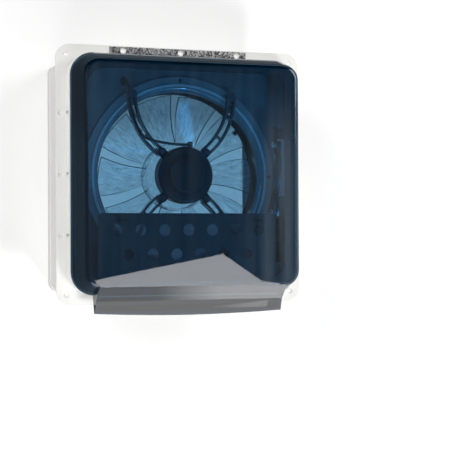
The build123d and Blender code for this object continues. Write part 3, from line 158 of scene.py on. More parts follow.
# Cards: what the lid's faces show of them, in millimetres on the lid, and their edges in metres
UP = Vector((0.0, 0.0, 1.0))
TAIL_NORMAL = Vector((0.0, -0.333, 0.943)).normalized()
CARD_ON_LID = [(-193.4, -178.7, 80.0), (48.0, -133.9, 80.0), (117.8, -180.0, 80.0), (148.8, -183.9, 80.0)]
STREAK_ON_TAIL = [(38.0, -223.0, 51.6), (138.0, -213.0, 55.1), (138.0, -224.0, 51.2), (90.0, -225.0, 50.9)]
CARD_OVERHANG = 0.9              # of its far edge, to each side
CARD_FAR = -2.9                  # Y of the overhead card's far edge and of the front card
STREAK_CARD_DROP = 0.02          # below the overhead card
FRONT_CARD_LEFT, FRONT_CARD_RIGHT, FRONT_CARD_TOP = -0.6, 2.4, 0.7
FRONT_CARD_LIFT = 0.002          # above the floor


# Sizes and colours


class VentFinishes(bpy.types.PropertyGroup):
    """Colours and surface values of the vent's plastics and metals."""

    shell_white: bpy.props.FloatVectorProperty(
        name="Shell White", description="Colour of the flange and housing", subtype="COLOR", size=3,
        min=0.0, max=1.0, default=(0.83, 0.825, 0.80))
    deck_grey: bpy.props.FloatVectorProperty(
        name="Deck Grey", description="Colour of the deck", subtype="COLOR", size=3,
        min=0.0, max=1.0, default=(0.085, 0.082, 0.082))
    ring_grey: bpy.props.FloatVectorProperty(
        name="Ring Grey", description="Colour of the fan ring", subtype="COLOR", size=3,
        min=0.0, max=1.0, default=(0.23, 0.23, 0.225))
    spider_grey: bpy.props.FloatVectorProperty(
        name="Spider Grey", description="Colour of the arms that carry the motor", subtype="COLOR", size=3,
        min=0.0, max=1.0, default=(0.075, 0.076, 0.078))
    motor_black: bpy.props.FloatVectorProperty(
        name="Motor Black", description="Colour of the motor and the lift parts", subtype="COLOR", size=3,
        min=0.0, max=1.0, default=(0.008, 0.009, 0.010))
    lid_tint: bpy.props.FloatVectorProperty(
        name="Lid Tint", description="Light that the lid's wall lets through", subtype="COLOR", size=3,
        min=0.0, max=1.0, default=(0.195, 0.465, 0.710))
    blade_tint: bpy.props.FloatVectorProperty(
        name="Blade Tint", description="Light that a blade lets through", subtype="COLOR", size=3,
        min=0.0, max=1.0, default=(0.90, 0.935, 0.955))
    lid_gloss: bpy.props.FloatProperty(
        name="Lid Roughness", description="Roughness of the lid's polished faces", subtype="FACTOR",
        min=0.0, max=1.0, default=0.012)


class VentDetails(bpy.types.PropertyGroup):
    """Sizes of the small pieces that the finished vent carries."""

    wire_pitch: bpy.props.FloatProperty(
        name="Wire Pitch", description="Distance between the insect mesh's wires", unit="LENGTH",
        default=1.6 * MM)
    wire_width: bpy.props.FloatProperty(
        name="Wire Width", description="Thickness of the insect mesh's wires", unit="LENGTH",
        default=0.26 * MM)
    foil_thickness: bpy.props.FloatProperty(
        name="Foil Thickness", description="Thickness of the bare foil strip", unit="LENGTH",
        default=0.12 * MM)
    rim_radius: bpy.props.FloatProperty(
        name="Rim Radius", description="Radius of the rims along the blades' edges", unit="LENGTH",
        default=0.48 * MM)
    gauze_inset: bpy.props.FloatProperty(
        name="Gauze Inset", description="Gauze's edge inside the baffle's edge", unit="LENGTH",
        default=12.0 * MM)
    recess_width: bpy.props.FloatProperty(
        name="Recess Width", description="Width of a cross recess's arms", unit="LENGTH",
        default=0.8 * MM)


class VentStudio(bpy.types.PropertyGroup):
    """Floor, lamps, cards and camera."""

    floor_shade: bpy.props.FloatProperty(
        name="Floor Shade", description="Grey value of the floor", subtype="FACTOR", min=0.0, max=1.0,
        default=0.80)
    key_power: bpy.props.FloatProperty(
        name="Key Power", description="Power of the large lamp on the left", unit="POWER", default=45.0)
    fill_power: bpy.props.FloatProperty(
        name="Fill Power", description="Power of the lamps on the right and in front", unit="POWER",
        default=26.0)
    glint_power: bpy.props.FloatProperty(
        name="Glint Power", description="Power of the small lamp that draws glints", unit="POWER",
        default=20.0)
    card_level: bpy.props.FloatProperty(
        name="Card Level", description="Brightness of the cards that the lid mirrors", default=6.9)
    mirrored_floor: bpy.props.FloatProperty(
        name="Mirrored Floor", description="Brightness of the floor where shiny pieces mirror it",
        default=0.05)
    focal_length: bpy.props.FloatProperty(
        name="Focal Length", description="Lens of the camera", unit="CAMERA", default=104.4)


# Helpers


def metres(*sizes):
    """These millimetres in metres."""
    return tuple(size * MM for size in sizes)


def activate(piece):
    """Make one object the only selected and active one."""
    bpy.ops.object.select_all(action="DESELECT")
    piece.select_set(True)
    bpy.context.view_layer.objects.active = piece


def apply_place(piece):
    """Move the piece's place, turn and scale into its mesh."""
    activate(piece)
    bpy.ops.object.transform_apply(location=True, rotation=True, scale=True)


def apply_modifier(piece, kind, **values):
    """Add a modifier with these values and apply it."""
    activate(piece)
    modifier = piece.modifiers.new(kind.title(), kind)
    for key, value in values.items():
        setattr(modifier, key, value)
    bpy.ops.object.modifier_apply(modifier=modifier.name)


def join(pieces):
    """Join the pieces into the first one."""
    activate(pieces[0])
    for piece in pieces:
        piece.select_set(True)
    bpy.ops.object.join()
    return pieces[0]


def copy_of(piece, matrix):
    """A copy of the piece with its own mesh, moved by the matrix."""
    twin = piece.copy()
    twin.data = piece.data.copy()
    twin.matrix_world = matrix @ piece.matrix_world
    bpy.context.scene.collection.objects.link(twin)
    return twin


def dress(piece, material):
    """Put one material on the piece in place of what it has."""
    if not piece.data.materials:
        piece.data.materials.append(material)
    for index in range(len(piece.data.materials)):
        piece.data.materials[index] = material


def settle(piece, name, body, material):
    """Apply the piece's place, name it, dress it and tie it to its body and material slot."""
    apply_place(piece)
    piece.name = name
    piece.data.name = name
    dress(piece, bpy.data.materials[material])
    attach(piece, body)
    return piece


def drawn_line(points, height=0.0, closed=False):
    """A curve of straight runs through these points, which are in millimetres."""
    bpy.ops.curve.primitive_nurbs_path_add(enter_editmode=False)
    line = bpy.context.object
    line.data.splines.clear()
    path = line.data.splines.new("POLY")
    path.points.add(len(points) - 1)
    path.use_cyclic_u = closed
    for point, (x, y) in zip(path.points, points):
        point.co = (x * MM, y * MM, height, 1.0)
    return line


# Helpers for shader nodes


def feed(tree, socket, value):
    """Link an output to this input, or set the input to a plain value."""
    if isinstance(value, bpy.types.NodeSocket):
        tree.links.new(value, socket)
    else:
        socket.default_value = value


def add_node(tree, kind, feeds=None, **settings):
    """A new node with these settings, and its inputs linked or set."""
    node = tree.nodes.new(kind)
    for key, value in settings.items():
        setattr(node, key, value)
    for key, value in (feeds or {}).items():
        feed(tree, node.inputs[key], value)
    return node


def object_place(tree):
    """The place on the object."""
    return add_node(tree, "ShaderNodeTexCoord").outputs["Object"]


def axis_of(tree, vector, axis):
    """One coordinate of a vector."""
    return add_node(tree, "ShaderNodeSeparateXYZ", {0: vector}).outputs[axis]


def computed(tree, operation, *values, clamp=False):
    """The result of a Math node."""
    return add_node(tree, "ShaderNodeMath", dict(enumerate(values)), operation=operation,
                    use_clamp=clamp).outputs[0]


def scaled(tree, vector, factor):
    """A vector or colour times one value."""
    return add_node(tree, "ShaderNodeVectorMath", {0: vector, "Scale": factor},
                    operation="SCALE").outputs["Vector"]


def stretched(tree, vector, factors):
    """A vector times another, axis by axis."""
    return add_node(tree, "ShaderNodeVectorMath", {0: vector, 1: factors},
                    operation="MULTIPLY").outputs["Vector"]


def length_of(tree, vector):
    """The length of a vector."""
    return add_node(tree, "ShaderNodeVectorMath", {0: vector}, operation="LENGTH").outputs["Value"]


def noise(tree, place, scale, detail):
    """The value of a noise texture."""
    return add_node(tree, "ShaderNodeTexNoise", {"Vector": place, "Scale": scale, "Detail": detail}
                    ).outputs["Fac"]


def remapped(tree, value, before, after, shape="SMOOTHSTEP"):
    """A value taken from one range to another."""
    return add_node(
        tree, "ShaderNodeMapRange",
        {"Value": value, "From Min": before[0], "From Max": before[1],
         "To Min": after[0], "To Max": after[1]},
        interpolation_type=shape).outputs["Result"]


# Shader groups


def new_group(name, inputs, outputs):
    """A shader group with these sockets: (name, kind, default). Gives its tree, its inputs and outputs."""
    tree = bpy.data.node_groups.new(name, "ShaderNodeTree")
    for label, kind, default in inputs:
        socket = tree.interface.new_socket(name=label, in_out="INPUT", socket_type=kind)
        socket.default_value = default
    for label, kind in outputs:
        tree.interface.new_socket(name=label, in_out="OUTPUT", socket_type=kind)
    return tree, tree.nodes.new("NodeGroupInput").outputs, tree.nodes.new("NodeGroupOutput").inputs


def moulded_plastic_group():
    """Fine moulded grain, slow colour drift and uneven gloss."""
    tree, given, result = new_group(
        "Moulded Plastic",
        [("Color", "NodeSocketColor", (0.8, 0.8, 0.8, 1.0)), ("Roughness", "NodeSocketFloat", 0.4),
         ("Grain Scale", "NodeSocketFloat", 900.0), ("Drift", "NodeSocketFloat", 0.05)],
        [("Color", "NodeSocketColor"), ("Roughness", "NodeSocketFloat"), ("Height", "NodeSocketFloat")])
    place = object_place(tree)
    drift = computed(tree, "SUBTRACT", noise(tree, place, scale=14.0, detail=5.0), 0.5)
    amount = computed(tree, "MULTIPLY_ADD", drift, given["Drift"], 1.0)
    feed(tree, result["Color"], scaled(tree, given["Color"], amount))
    feed(tree, result["Roughness"], computed(tree, "MULTIPLY_ADD", drift, 0.18, given["Roughness"]))
    feed(tree, result["Height"], noise(tree, place, scale=given["Grain Scale"], detail=3.0))
    return tree


def settled_dust_group():
    """Dust that lies on faces that look up, in loose patches."""
    tree, given, result = new_group(
        "Settled Dust",
        [("Color", "NodeSocketColor", (0.5, 0.5, 0.5, 1.0)), ("Amount", "NodeSocketFloat", 0.1)],
        [("Color", "NodeSocketColor"), ("Mask", "NodeSocketFloat")])
    patches = noise(tree, object_place(tree), scale=38.0, detail=8.0)
    upward = axis_of(tree, add_node(tree, "ShaderNodeNewGeometry").outputs["Normal"], "Z")
    lying = computed(tree, "MULTIPLY", upward, patches, clamp=True)
    mask = computed(tree, "MULTIPLY", lying, given["Amount"], clamp=True)
    dusty = add_node(tree, "ShaderNodeMix", {"Factor": mask, "A": given["Color"], "B": DUST_COLOR},
                     data_type="RGBA")
    feed(tree, result["Color"], dusty.outputs["Result"])
    feed(tree, result["Mask"], mask)
    return tree


def brushed_metal_group():
    """Fine lines along one axis, for colour, gloss and height."""
    tree, given, result = new_group(
        "Brushed Metal",
        [("Color", "NodeSocketColor", (0.6, 0.6, 0.6, 1.0)), ("Roughness", "NodeSocketFloat", 0.3),
         ("Stretch", "NodeSocketVector", (40.0, 1400.0, 1400.0))],
        [("Color", "NodeSocketColor"), ("Roughness", "NodeSocketFloat"), ("Height", "NodeSocketFloat")])
    lines = noise(tree, stretched(tree, object_place(tree), given["Stretch"]), scale=1.0, detail=4.0)
    amount = computed(tree, "MULTIPLY_ADD", lines, 0.3, 0.85)
    feed(tree, result["Color"], scaled(tree, given["Color"], amount))
    feed(tree, result["Roughness"], computed(tree, "MULTIPLY_ADD", lines, 0.2, given["Roughness"]))
    feed(tree, result["Height"], lines)
    return tree


def placed_group(tree, group, **values):
    """Place a shader group in a material and set its inputs."""
    node = tree.nodes.new("ShaderNodeGroup")
    node.node_tree = group
    for key, value in values.items():
        socket = node.inputs[key.replace("_", " ")]
        socket.default_value = (*value, 1.0) if socket.type == "RGBA" else value
    return node


# Materials


def blank_material(name):
    """A material with a Principled shader, its tree and the shader."""
    material = bpy.data.materials.new(name)
    material.use_nodes = True
    tree = material.node_tree
    return material, tree, tree.nodes["Principled BSDF"]


def bump_from(tree, shader, height, strength, distance):
    """Feed a height into the shader's normal."""
    bump = add_node(tree, "ShaderNodeBump", {"Strength": strength, "Distance": distance, "Height": height})
    feed(tree, shader.inputs["Normal"], bump.outputs["Normal"])


def plastic(name, groups, color, roughness=0.4, grain=900.0, drift=0.06, dust=0.0, bump=0.12):
    """Moulded plastic or rubber."""
    material, tree, shader = blank_material(name)
    base = placed_group(
        tree, groups["plastic"], Color=color, Roughness=roughness, Grain_Scale=grain, Drift=drift).outputs
    surface = base["Color"]
    if dust:
        layer = placed_group(tree, groups["dust"], Amount=dust)
        feed(tree, layer.inputs["Color"], surface)
        surface = layer.outputs["Color"]
    feed(tree, shader.inputs["Base Color"], surface)
    feed(tree, shader.inputs["Roughness"], base["Roughness"])
    bump_from(tree, shader, base["Height"], strength=bump, distance=0.2 * MM)
    return material


def metal(name, groups, color, roughness):
    """Brushed or plated metal."""
    material, tree, shader = blank_material(name)
    base = placed_group(tree, groups["metal"], Color=color, Roughness=roughness).outputs
    shader.inputs["Metallic"].default_value = 1.0
    feed(tree, shader.inputs["Base Color"], base["Color"])
    feed(tree, shader.inputs["Roughness"], base["Roughness"])
    bump_from(tree, shader, base["Height"], strength=0.05, distance=0.1 * MM)
    return material


def crumpled_foil(name):
    """Bare foil whose creases glint, with painted reflections: its facets' colour runs at random from near
    black to bright.
    """
    material, tree, shader = blank_material(name)
    shader.inputs["Metallic"].default_value = 1.0
    shader.inputs["Roughness"].default_value = 0.3
    place = object_place(tree)
    creases = add_node(tree, "ShaderNodeTexVoronoi", {"Vector": place, "Scale": 420.0}).outputs
    foil_patches = noise(tree, place, scale=90.0, detail=6.0)
    # painted reflection: the facets' colour, near black to bright, in patches
    tone = add_node(tree, "ShaderNodeValToRGB", {"Fac": computed(tree, "MULTIPLY", creases["Color"], foil_patches)})
    stops = ((0.10, (0.10, 0.10, 0.11, 1.0)), (0.42, (0.93, 0.93, 0.94, 1.0)))
    for stop, (position, color) in zip(tone.color_ramp.elements, stops):
        stop.position = position
        stop.color = color
    feed(tree, shader.inputs["Base Color"], tone.outputs["Color"])
    bump_from(tree, shader, creases["Distance"], strength=0.5, distance=0.3 * MM)
    return material


def ring_with_painted_light(name, groups, color):
    """The fan ring's plastic, with painted shade in its throat and painted highlights on the edges of its bead.
    """
    material, tree, shader = blank_material(name)
    base = placed_group(
        tree, groups["plastic"], Color=color, Roughness=0.15, Grain_Scale=500.0, Drift=0.08).outputs
    place = object_place(tree)
    radius = length_of(tree, stretched(tree, place, (1.0, 1.0, 0.0)))
    # painted shade: darker down the throat
    amount = remapped(tree, axis_of(tree, place, "Z"), metres(*THROAT_SHADE), (THROAT_PAINTED_SHADE, 1.0))
    # painted highlights on the edges of the bead
    for edge in BEAD_EDGES:
        near = computed(tree, "COMPARE", radius, *metres(edge, BEAD_HIGHLIGHT_REACH))
        amount = computed(tree, "MULTIPLY_ADD", near, BEAD_HIGHLIGHT, amount)
    feed(tree, shader.inputs["Base Color"], scaled(tree, base["Color"], amount))
    feed(tree, shader.inputs["Roughness"], base["Roughness"])
    bump_from(tree, shader, base["Height"], strength=0.04, distance=0.2 * MM)
    return material


def blade_streaks(tree):
    """A share of the colour that varies round the fan's axis and little along its radius."""
    place = object_place(tree)
    angle = computed(tree, "ARCTAN2", axis_of(tree, place, "Y"), axis_of(tree, place, "X"))
    polar = add_node(tree, "ShaderNodeCombineXYZ", {"X": angle, "Y": length_of(tree, place)}).outputs[0]
    streaks = noise(tree, stretched(tree, polar, BLADE_STREAKS), scale=1.0, detail=5.0)
    return remapped(tree, streaks, *BLADE_CONTRAST, shape="LINEAR")


def lid_clearness(tree):
    """A share of the colour that is less in the lid's walls, its sloping faces and its tail."""
    on_lid = add_node(tree, "ShaderNodeTexCoord").outputs
    height = axis_of(tree, on_lid["Object"], "Z")
    upward = computed(tree, "ABSOLUTE", axis_of(tree, on_lid["Normal"], "Z"))
    along = axis_of(tree, on_lid["Object"], "Y")
    by_height = remapped(tree, height, metres(*LID_SHOULDER), (WALL_CLEARNESS, 1.0))
    by_slope = remapped(tree, upward, LEVEL_ENOUGH, (WALL_CLEARNESS, 1.0))
    by_tail = remapped(tree, along, metres(*TAIL_START), (TAIL_CLEARNESS, 1.0))
    return computed(tree, "MULTIPLY", computed(tree, "MINIMUM", by_height, by_slope), by_tail)


def clear_plastic(name, groups, tint, roughness, waviness, drift=0.04, share=None):
    """Tinted clear plastic that lets plain light through. share: gives how much of the tint is left."""
    material, tree, shader = blank_material(name)
    base = placed_group(
        tree, groups["plastic"], Color=tint, Roughness=roughness, Grain_Scale=22.0, Drift=drift).outputs
    surface = scaled(tree, base["Color"], share(tree)) if share else base["Color"]
    feed(tree, shader.inputs["Base Color"], surface)
    shader.inputs["Roughness"].default_value = roughness
    shader.inputs["Transmission Weight"].default_value = 1.0
    shader.inputs["IOR"].default_value = 1.49
    bump_from(tree, shader, base["Height"], strength=waviness, distance=0.5 * MM)
    through = add_node(tree, "ShaderNodeBsdfTransparent", {"Color": (*map(math.sqrt, tint), 1.0)})
    ray = add_node(tree, "ShaderNodeLightPath").outputs
    plain_light = computed(tree, "MAXIMUM", ray["Is Shadow Ray"], ray["Is Diffuse Ray"])
    mix = add_node(tree, "ShaderNodeMixShader",
                   {"Fac": plain_light, 1: shader.outputs["BSDF"], 2: through.outputs["BSDF"]})
    feed(tree, tree.nodes["Material Output"].inputs["Surface"], mix.outputs["Shader"])
    return material


# Operators: finishes

FINISH_OF_NODE = {
    "shell": ["roof_flange", "fan_housing", "tail_liner", "screen_frame"],
    "deck": ["fan_deck"],
    "ring": ["fan_ring"],
    "spider": ["motor_spider"],
    "frame": ["lid_frame", "baffle_posts", "baffle_plate"],
    "black": ["motor_housing", "motor_cap", "cable_clips", "cam_track", "lift_arm",
              "lift_gearbox", "lift_motor", "fuse_holder", "air_sensor"],
    "lid": ["lid_shell"],
    "blades": ["fan_rotor"],
    "pale": ["control_cover"],
    "bright_screw": ["side_screws"],
    "dark_screw": ["deck_screws", "ring_screws", "spider_screws", "motor_screws", "baffle_screws",
                   "gearbox_screws", "bracket_screws", "leaf_screws", "track_screws", "screen_screws"],
    "steel": ["motor_bearing", "motor_shaft", "hub_nut", "hinge_brackets", "hinge_pins", "hinge_leaves",
              "guide_pin", "lift_bracket", "arm_pivot_pin"],
    "rubber": ["motor_grommets", "motor_gland", "cable_grommet", "lid_seal"],
    "cable": ["fan_cable"],
    "nylon": ["drive_pinion"],
    "board": ["circuit_board"],
    "fuse": ["glass_fuse"],
    "mesh": ["insect_mesh"],
    "window": ["signal_window"],
}


class VENT_OT_finishes(bpy.types.Operator):
    """Build the vent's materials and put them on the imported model's nodes"""

    bl_idname = "vent.finishes"
    bl_label = "Finishes"

    def execute(self, context):
        look = context.scene.vent_finishes
        groups = {"plastic": moulded_plastic_group(), "dust": settled_dust_group(),
                  "metal": brushed_metal_group()}
        finishes = {
            "shell": plastic("shell_white", groups, look.shell_white,
                             roughness=0.38, grain=700.0, drift=0.05, dust=0.05),
            "deck": plastic("deck_plastic", groups, look.deck_grey,
                            roughness=0.5, grain=800.0, drift=0.10, dust=0.12),
            "ring": ring_with_painted_light("ring_plastic", groups, look.ring_grey),
            "spider": plastic("spider_grey", groups, look.spider_grey,
                              roughness=0.16, grain=500.0, drift=0.08, dust=0.02, bump=0.04),
            "gauze": clear_plastic("baffle_gauze", groups, (0.10, 0.135, 0.18),
                                   roughness=0.25, waviness=0.1),
            "frame": plastic("frame_black", groups, (0.014, 0.021, 0.021),
                             roughness=0.40, grain=800.0, drift=0.1),
            "rim": plastic("blade_rim", groups, (0.018, 0.026, 0.033),
                           roughness=0.20, grain=600.0, drift=0.2),
            "bright_screw": metal("screw_bright", groups, (0.72, 0.72, 0.71), roughness=0.32),
            # painted shade: a near-black sheet in the hollow under the lid's tail
            "shade": plastic("tail_shade", groups, (0.012, 0.013, 0.015),
                             roughness=0.6, grain=500.0, drift=0.1),
            "black": plastic("motor_black", groups, look.motor_black,
                             roughness=0.34, grain=1000.0, drift=0.15, dust=0.02),
            "lid": clear_plastic("smoke_lid", groups, look.lid_tint,
                                 roughness=look.lid_gloss, waviness=0.008, share=lid_clearness),
            "blades": clear_plastic("smoke_blades", groups, look.blade_tint,
                                    roughness=0.12, waviness=0.10, drift=0.12, share=blade_streaks),
            "pale": plastic("cover_pale", groups, (0.42, 0.43, 0.43),
                            roughness=0.5, grain=700.0, drift=0.05, dust=0.1),
            "dark_screw": metal("screw_black", groups, (0.09, 0.09, 0.10), roughness=0.38),
            "steel": metal("plated_steel", groups, (0.58, 0.59, 0.60), roughness=0.30),
            "rubber": plastic("soft_rubber", groups, (0.022, 0.022, 0.023),
                              roughness=0.65, grain=500.0, drift=0.2, dust=0.08, bump=0.2),
            "cable": plastic("cable_jacket", groups, (0.012, 0.012, 0.012),
                             roughness=0.5, grain=600.0, drift=0.2, dust=0.05),
            "nylon": plastic("gear_nylon", groups, (0.70, 0.68, 0.62),
                             roughness=0.4, grain=800.0, drift=0.05),
            "board": plastic("board_green", groups, (0.02, 0.12, 0.05),
                             roughness=0.35, grain=300.0, drift=0.3),
            "fuse": clear_plastic("fuse_glass", groups, (0.90, 0.93, 0.93), roughness=0.02, waviness=0.0),
            "mesh": plastic("mesh_yarn", groups, (0.04, 0.04, 0.042),
                            roughness=0.6, grain=900.0, drift=0.1),
            "window": clear_plastic("window_red", groups, (0.30, 0.03, 0.04),
                                    roughness=0.05, waviness=0.02),
            "foil": crumpled_foil("bare_foil"),
            # painted shade: near-black crosses stand for the cross recesses in the screw heads
            "recess": plastic("recess_painted_shade", groups, (0.004, 0.004, 0.004),
                              roughness=0.7, grain=900.0, drift=0.1),
        }
        for finish, nodes in FINISH_OF_NODE.items():
            for node in nodes:
                dress(NODES[node], finishes[finish])
        return {"FINISHED"}


# Operators: pieces


class VENT_OT_insect_mesh(bpy.types.Operator):
    """Weave the fine insect mesh in its frame at the foot of the duct"""

    bl_idname = "vent.insect_mesh"
    bl_label = "Insect Mesh"

    def execute(self, context):
        size = context.scene.vent_details
        low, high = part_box("insect_mesh")
        reach = (high[0] - low[0]) / 2 - WEAVE_INSET * MM
        middle = (low[2] + high[2]) / 2
        count = int(2 * reach / size.wire_pitch)
        sets = []
        for angle, layer in ((0.0, -0.5), (QUARTER_TURN, 0.5)):
            bpy.ops.mesh.primitive_cube_add(
                size=1, location=(0, -count * size.wire_pitch / 2, middle + layer * size.wire_width))
            wires = bpy.context.object
            wires.scale = (2 * reach, size.wire_width, size.wire_width)
            apply_place(wires)
            apply_modifier(wires, "ARRAY", count=count + 1, use_relative_offset=False,
                           use_constant_offset=True, constant_offset_displace=(0, size.wire_pitch, 0))
            wires.data.transform(Matrix.Rotation(angle, 4, "Z"))
            sets.append(wires)
        weave = settle(join(sets), "insect_mesh_weave", "roof", "mesh_yarn")
        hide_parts("insect_mesh")
        return {"FINISHED"}


class VENT_OT_blade_rims(bpy.types.Operator):
    """Draw dark lines along the blades' edges, from a copy of the rotor"""

    bl_idname = "vent.blade_rims"
    bl_label = "Blade Rims"

    def execute(self, context):
        rims = copy_of(NODES["fan_rotor"], Matrix.Identity(4))
        rims.parent = None
        activate(rims)
        bpy.ops.object.mode_set(mode="EDIT")
        bpy.ops.mesh.select_mode(type="EDGE")
        bpy.ops.mesh.select_all(action="SELECT")
        bpy.ops.mesh.remove_doubles(threshold=MERGE_REACH * MM)
        bpy.ops.mesh.select_all(action="DESELECT")
        bpy.ops.mesh.edges_select_sharp(sharpness=RIM_ANGLE)
        bpy.ops.object.mode_set(mode="OBJECT")
        points = rims.data.vertices
        for edge in rims.data.edges:
            middle = (points[edge.vertices[0]].co + points[edge.vertices[1]].co) / 2
            edge.select = not (edge.select and middle.xy.length > HUB_RADIUS * MM)
        bpy.ops.object.mode_set(mode="EDIT")
        bpy.ops.mesh.delete(type="EDGE")
        bpy.ops.object.mode_set(mode="OBJECT")
        bpy.ops.object.convert(target="CURVE")
        line = bpy.context.object.data
        line.bevel_depth = context.scene.vent_details.rim_radius
        line.bevel_resolution = 1
        bpy.ops.object.convert(target="MESH")
        settle(bpy.context.object, "blade_rims", "fan", "blade_rim")
        return {"FINISHED"}


class VENT_OT_tail_shade(bpy.types.Operator):
    """Lay a dark sheet in the hollow under the lid's tail, where it paints the shade"""

    bl_idname = "vent.tail_shade"
    bl_label = "Tail Shade"

    def execute(self, context):
        low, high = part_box("tail_liner")
        left, right = low[0] + SHADE_MARGIN_X * MM, high[0] - SHADE_MARGIN_X * MM
        outer, inner = low[1] + SHADE_MARGIN_Y * MM, high[1] - SHADE_MARGIN_Y * MM
        bpy.ops.mesh.primitive_plane_add(size=1, location=(0, (outer + inner) / 2, 0))
        shade = bpy.context.object
        shade.scale = (right - left, inner - outer, 1)
        apply_place(shade)
        for point in shade.data.vertices:
            share = (point.co.y - outer) / (inner - outer)
            point.co.z = (SHADE_HEIGHT + share * SHADE_RISE) * MM
        apply_modifier(shade, "SOLIDIFY", thickness=SHADE_THICKNESS * MM)
        settle(shade, "tail_shade", "lid", "tail_shade")
        return {"FINISHED"}


class VENT_OT_baffle_gauze(bpy.types.Operator):
    """Lay the dark gauze that closes the baffle's holes from below"""

    bl_idname = "vent.baffle_gauze"
    bl_label = "Baffle Gauze"

    def execute(self, context):
        low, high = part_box("baffle_plate")
        inset = context.scene.vent_details.gauze_inset
        bpy.ops.mesh.primitive_cube_add(size=1)
        gauze = bpy.context.object
        gauze.scale = (high[0] - low[0] - 2 * inset, high[1] - low[1] - 2 * inset, GAUZE_THICKNESS * MM)
        gauze.location = ((low[0] + high[0]) / 2, (low[1] + high[1]) / 2, low[2] - GAUZE_DROP * MM)
        settle(gauze, "baffle_gauze", "lid", "baffle_gauze")
        return {"FINISHED"}


class VENT_OT_lid_seal(bpy.types.Operator):
    """Lay the soft lip seal along the wall top, open at the hinge side"""

    bl_idname = "vent.lid_seal"
    bl_label = "Lid Seal"

    def execute(self, context):
        low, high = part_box("lid_seal")
        middle = WALL_FACE - SEAL_INSET
        end = high[1] / MM - SEAL_END_GAP
        centre = middle - SEAL_CORNER
        points = [(middle, end)]
        for centre_x, first in ((centre, 0.0), (-centre, -QUARTER_TURN)):
            for step in range(SEAL_CORNER_STEPS + 1):
                angle = first - QUARTER_TURN * step / SEAL_CORNER_STEPS
                points.append((centre_x + SEAL_CORNER * math.cos(angle),
                               -centre + SEAL_CORNER * math.sin(angle)))
        points.append((-middle, end))
        strip = drawn_line(points, height=low[2])
        lip = drawn_line(LIP_OUTLINE, closed=True)
        strip.data.dimensions = "2D"
        strip.data.bevel_mode = "OBJECT"
        strip.data.bevel_object = lip
        strip.data.use_fill_caps = True
        activate(strip)
        bpy.ops.object.convert(target="MESH")
        strip = bpy.context.object
        bpy.data.objects.remove(lip)
        for polygon in strip.data.polygons:
            polygon.use_smooth = True
        strip = settle(strip, "lid_seal_lip", "roof", "soft_rubber")
        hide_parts("lid_seal")
        return {"FINISHED"}


class VENT_OT_foil(bpy.types.Operator):
    """Lay the bare foil strip on the flange at the hinge side, with its holes over the screws"""

    bl_idname = "vent.foil"
    bl_label = "Foil Strip"

    def execute(self, context):
        thickness = context.scene.vent_details.foil_thickness
        bpy.ops.mesh.primitive_grid_add(
            x_subdivisions=60, y_subdivisions=3, size=1,
            location=metres((FOIL_LEFT + FOIL_RIGHT) / 2, (FOIL_INNER + FOIL_OUTER) / 2,
                            FLANGE_TOP + FOIL_LIFT))
        foil = bpy.context.object
        foil.scale = (*metres(FOIL_RIGHT - FOIL_LEFT, FOIL_OUTER - FOIL_INNER), 1)
        apply_place(foil)
        apply_modifier(foil, "SOLIDIFY", thickness=thickness, offset=1.0)
        for step in (-1, 0, 1):
            bpy.ops.mesh.primitive_cylinder_add(
                vertices=32, radius=FOIL_HOLE * MM, depth=4 * MM,
                location=metres(step * SCREW_PITCH, FLANGE_SCREW_REACH, FLANGE_TOP))
            punch = bpy.context.object
            apply_modifier(foil, "BOOLEAN", operation="DIFFERENCE", object=punch)
            bpy.data.objects.remove(punch)
        settle(foil, "flange_foil", "roof", "bare_foil")
        return {"FINISHED"}


def recess_places():
    """Name, head radius and matrices of each group of screw heads."""
    upright = Matrix.Rotation(QUARTER_TURN, 4, "Y")
    sides = [Matrix.Rotation(side * QUARTER_TURN, 4, "Z")
             @ Matrix.Translation(metres(WALL_FACE + HEAD_HEIGHT, step * SCREW_PITCH, SIDE_SCREW_Z))
             @ upright for side in range(4) for step in (-1, 0, 1)]
    reach = RING_SCREW_REACH
    ring = [Matrix.Translation(metres(x, y, RING_TOP + HEAD_HEIGHT))
            for x, y in ((reach, 0), (-reach, 0), (0, reach), (0, -reach))]
    corners = (-MOTOR_SCREW_REACH, MOTOR_SCREW_REACH)
    ears = [Matrix.Translation(metres(x, y, MOTOR_SCREW_TOP)) for x in corners for y in corners]
    return (("side_screw_recesses", SIDE_HEAD, sides),
            ("ring_screw_recesses", RING_HEAD, ring),
            ("motor_screw_recesses", MOTOR_HEAD, ears))


class VENT_OT_recesses(bpy.types.Operator):
    """Mark the cross recesses on the screw heads with thin black crosses, painted shade in place of cut
    recesses
    """

    bl_idname = "vent.recesses"
    bl_label = "Screw Recesses"

    def execute(self, context):
        width = context.scene.vent_details.recess_width
        for name, head, places in recess_places():
            arms = []
            for angle in (0.0, QUARTER_TURN):
                bpy.ops.mesh.primitive_cube_add(size=1)
                arm = bpy.context.object
                arm.scale = (RECESS_LENGTH * head * MM, width, RECESS_HEIGHT * MM)
                apply_place(arm)
                arm.data.transform(Matrix.Rotation(angle, 4, "Z"))
                arms.append(arm)
            apply_modifier(arms[0], "BOOLEAN", operation="UNION", object=arms[1])
            crosses = [copy_of(arms[0], place) for place in places]
            for arm in arms:
                bpy.data.objects.remove(arm)
            settle(join(crosses), name, "roof", "recess_painted_shade")
        return {"FINISHED"}


# Operator: studio


def camera_matrix():
    """The camera's place: the inverse of the turn and shift that bring the vent in front of it."""
    turn = Matrix.Identity(4)
    for angle, axis in ((ROLL, "Z"), (PITCH, "X"), (YAW, "Y")):
        turn = turn @ Matrix.Rotation(math.radians(angle), 4, axis)
    return (Matrix.Translation(SHIFT) @ turn).inverted()


def mirrored(centre, corner, normal, height):
    """Where a ray from the camera gets to at this height once the lid mirrors it at this corner."""
    point = Vector(corner) * MM
    ray = (point - centre).normalized()
    ray = ray - 2 * ray.dot(normal) * normal
    return point + ray * (height - point.z) / ray.z


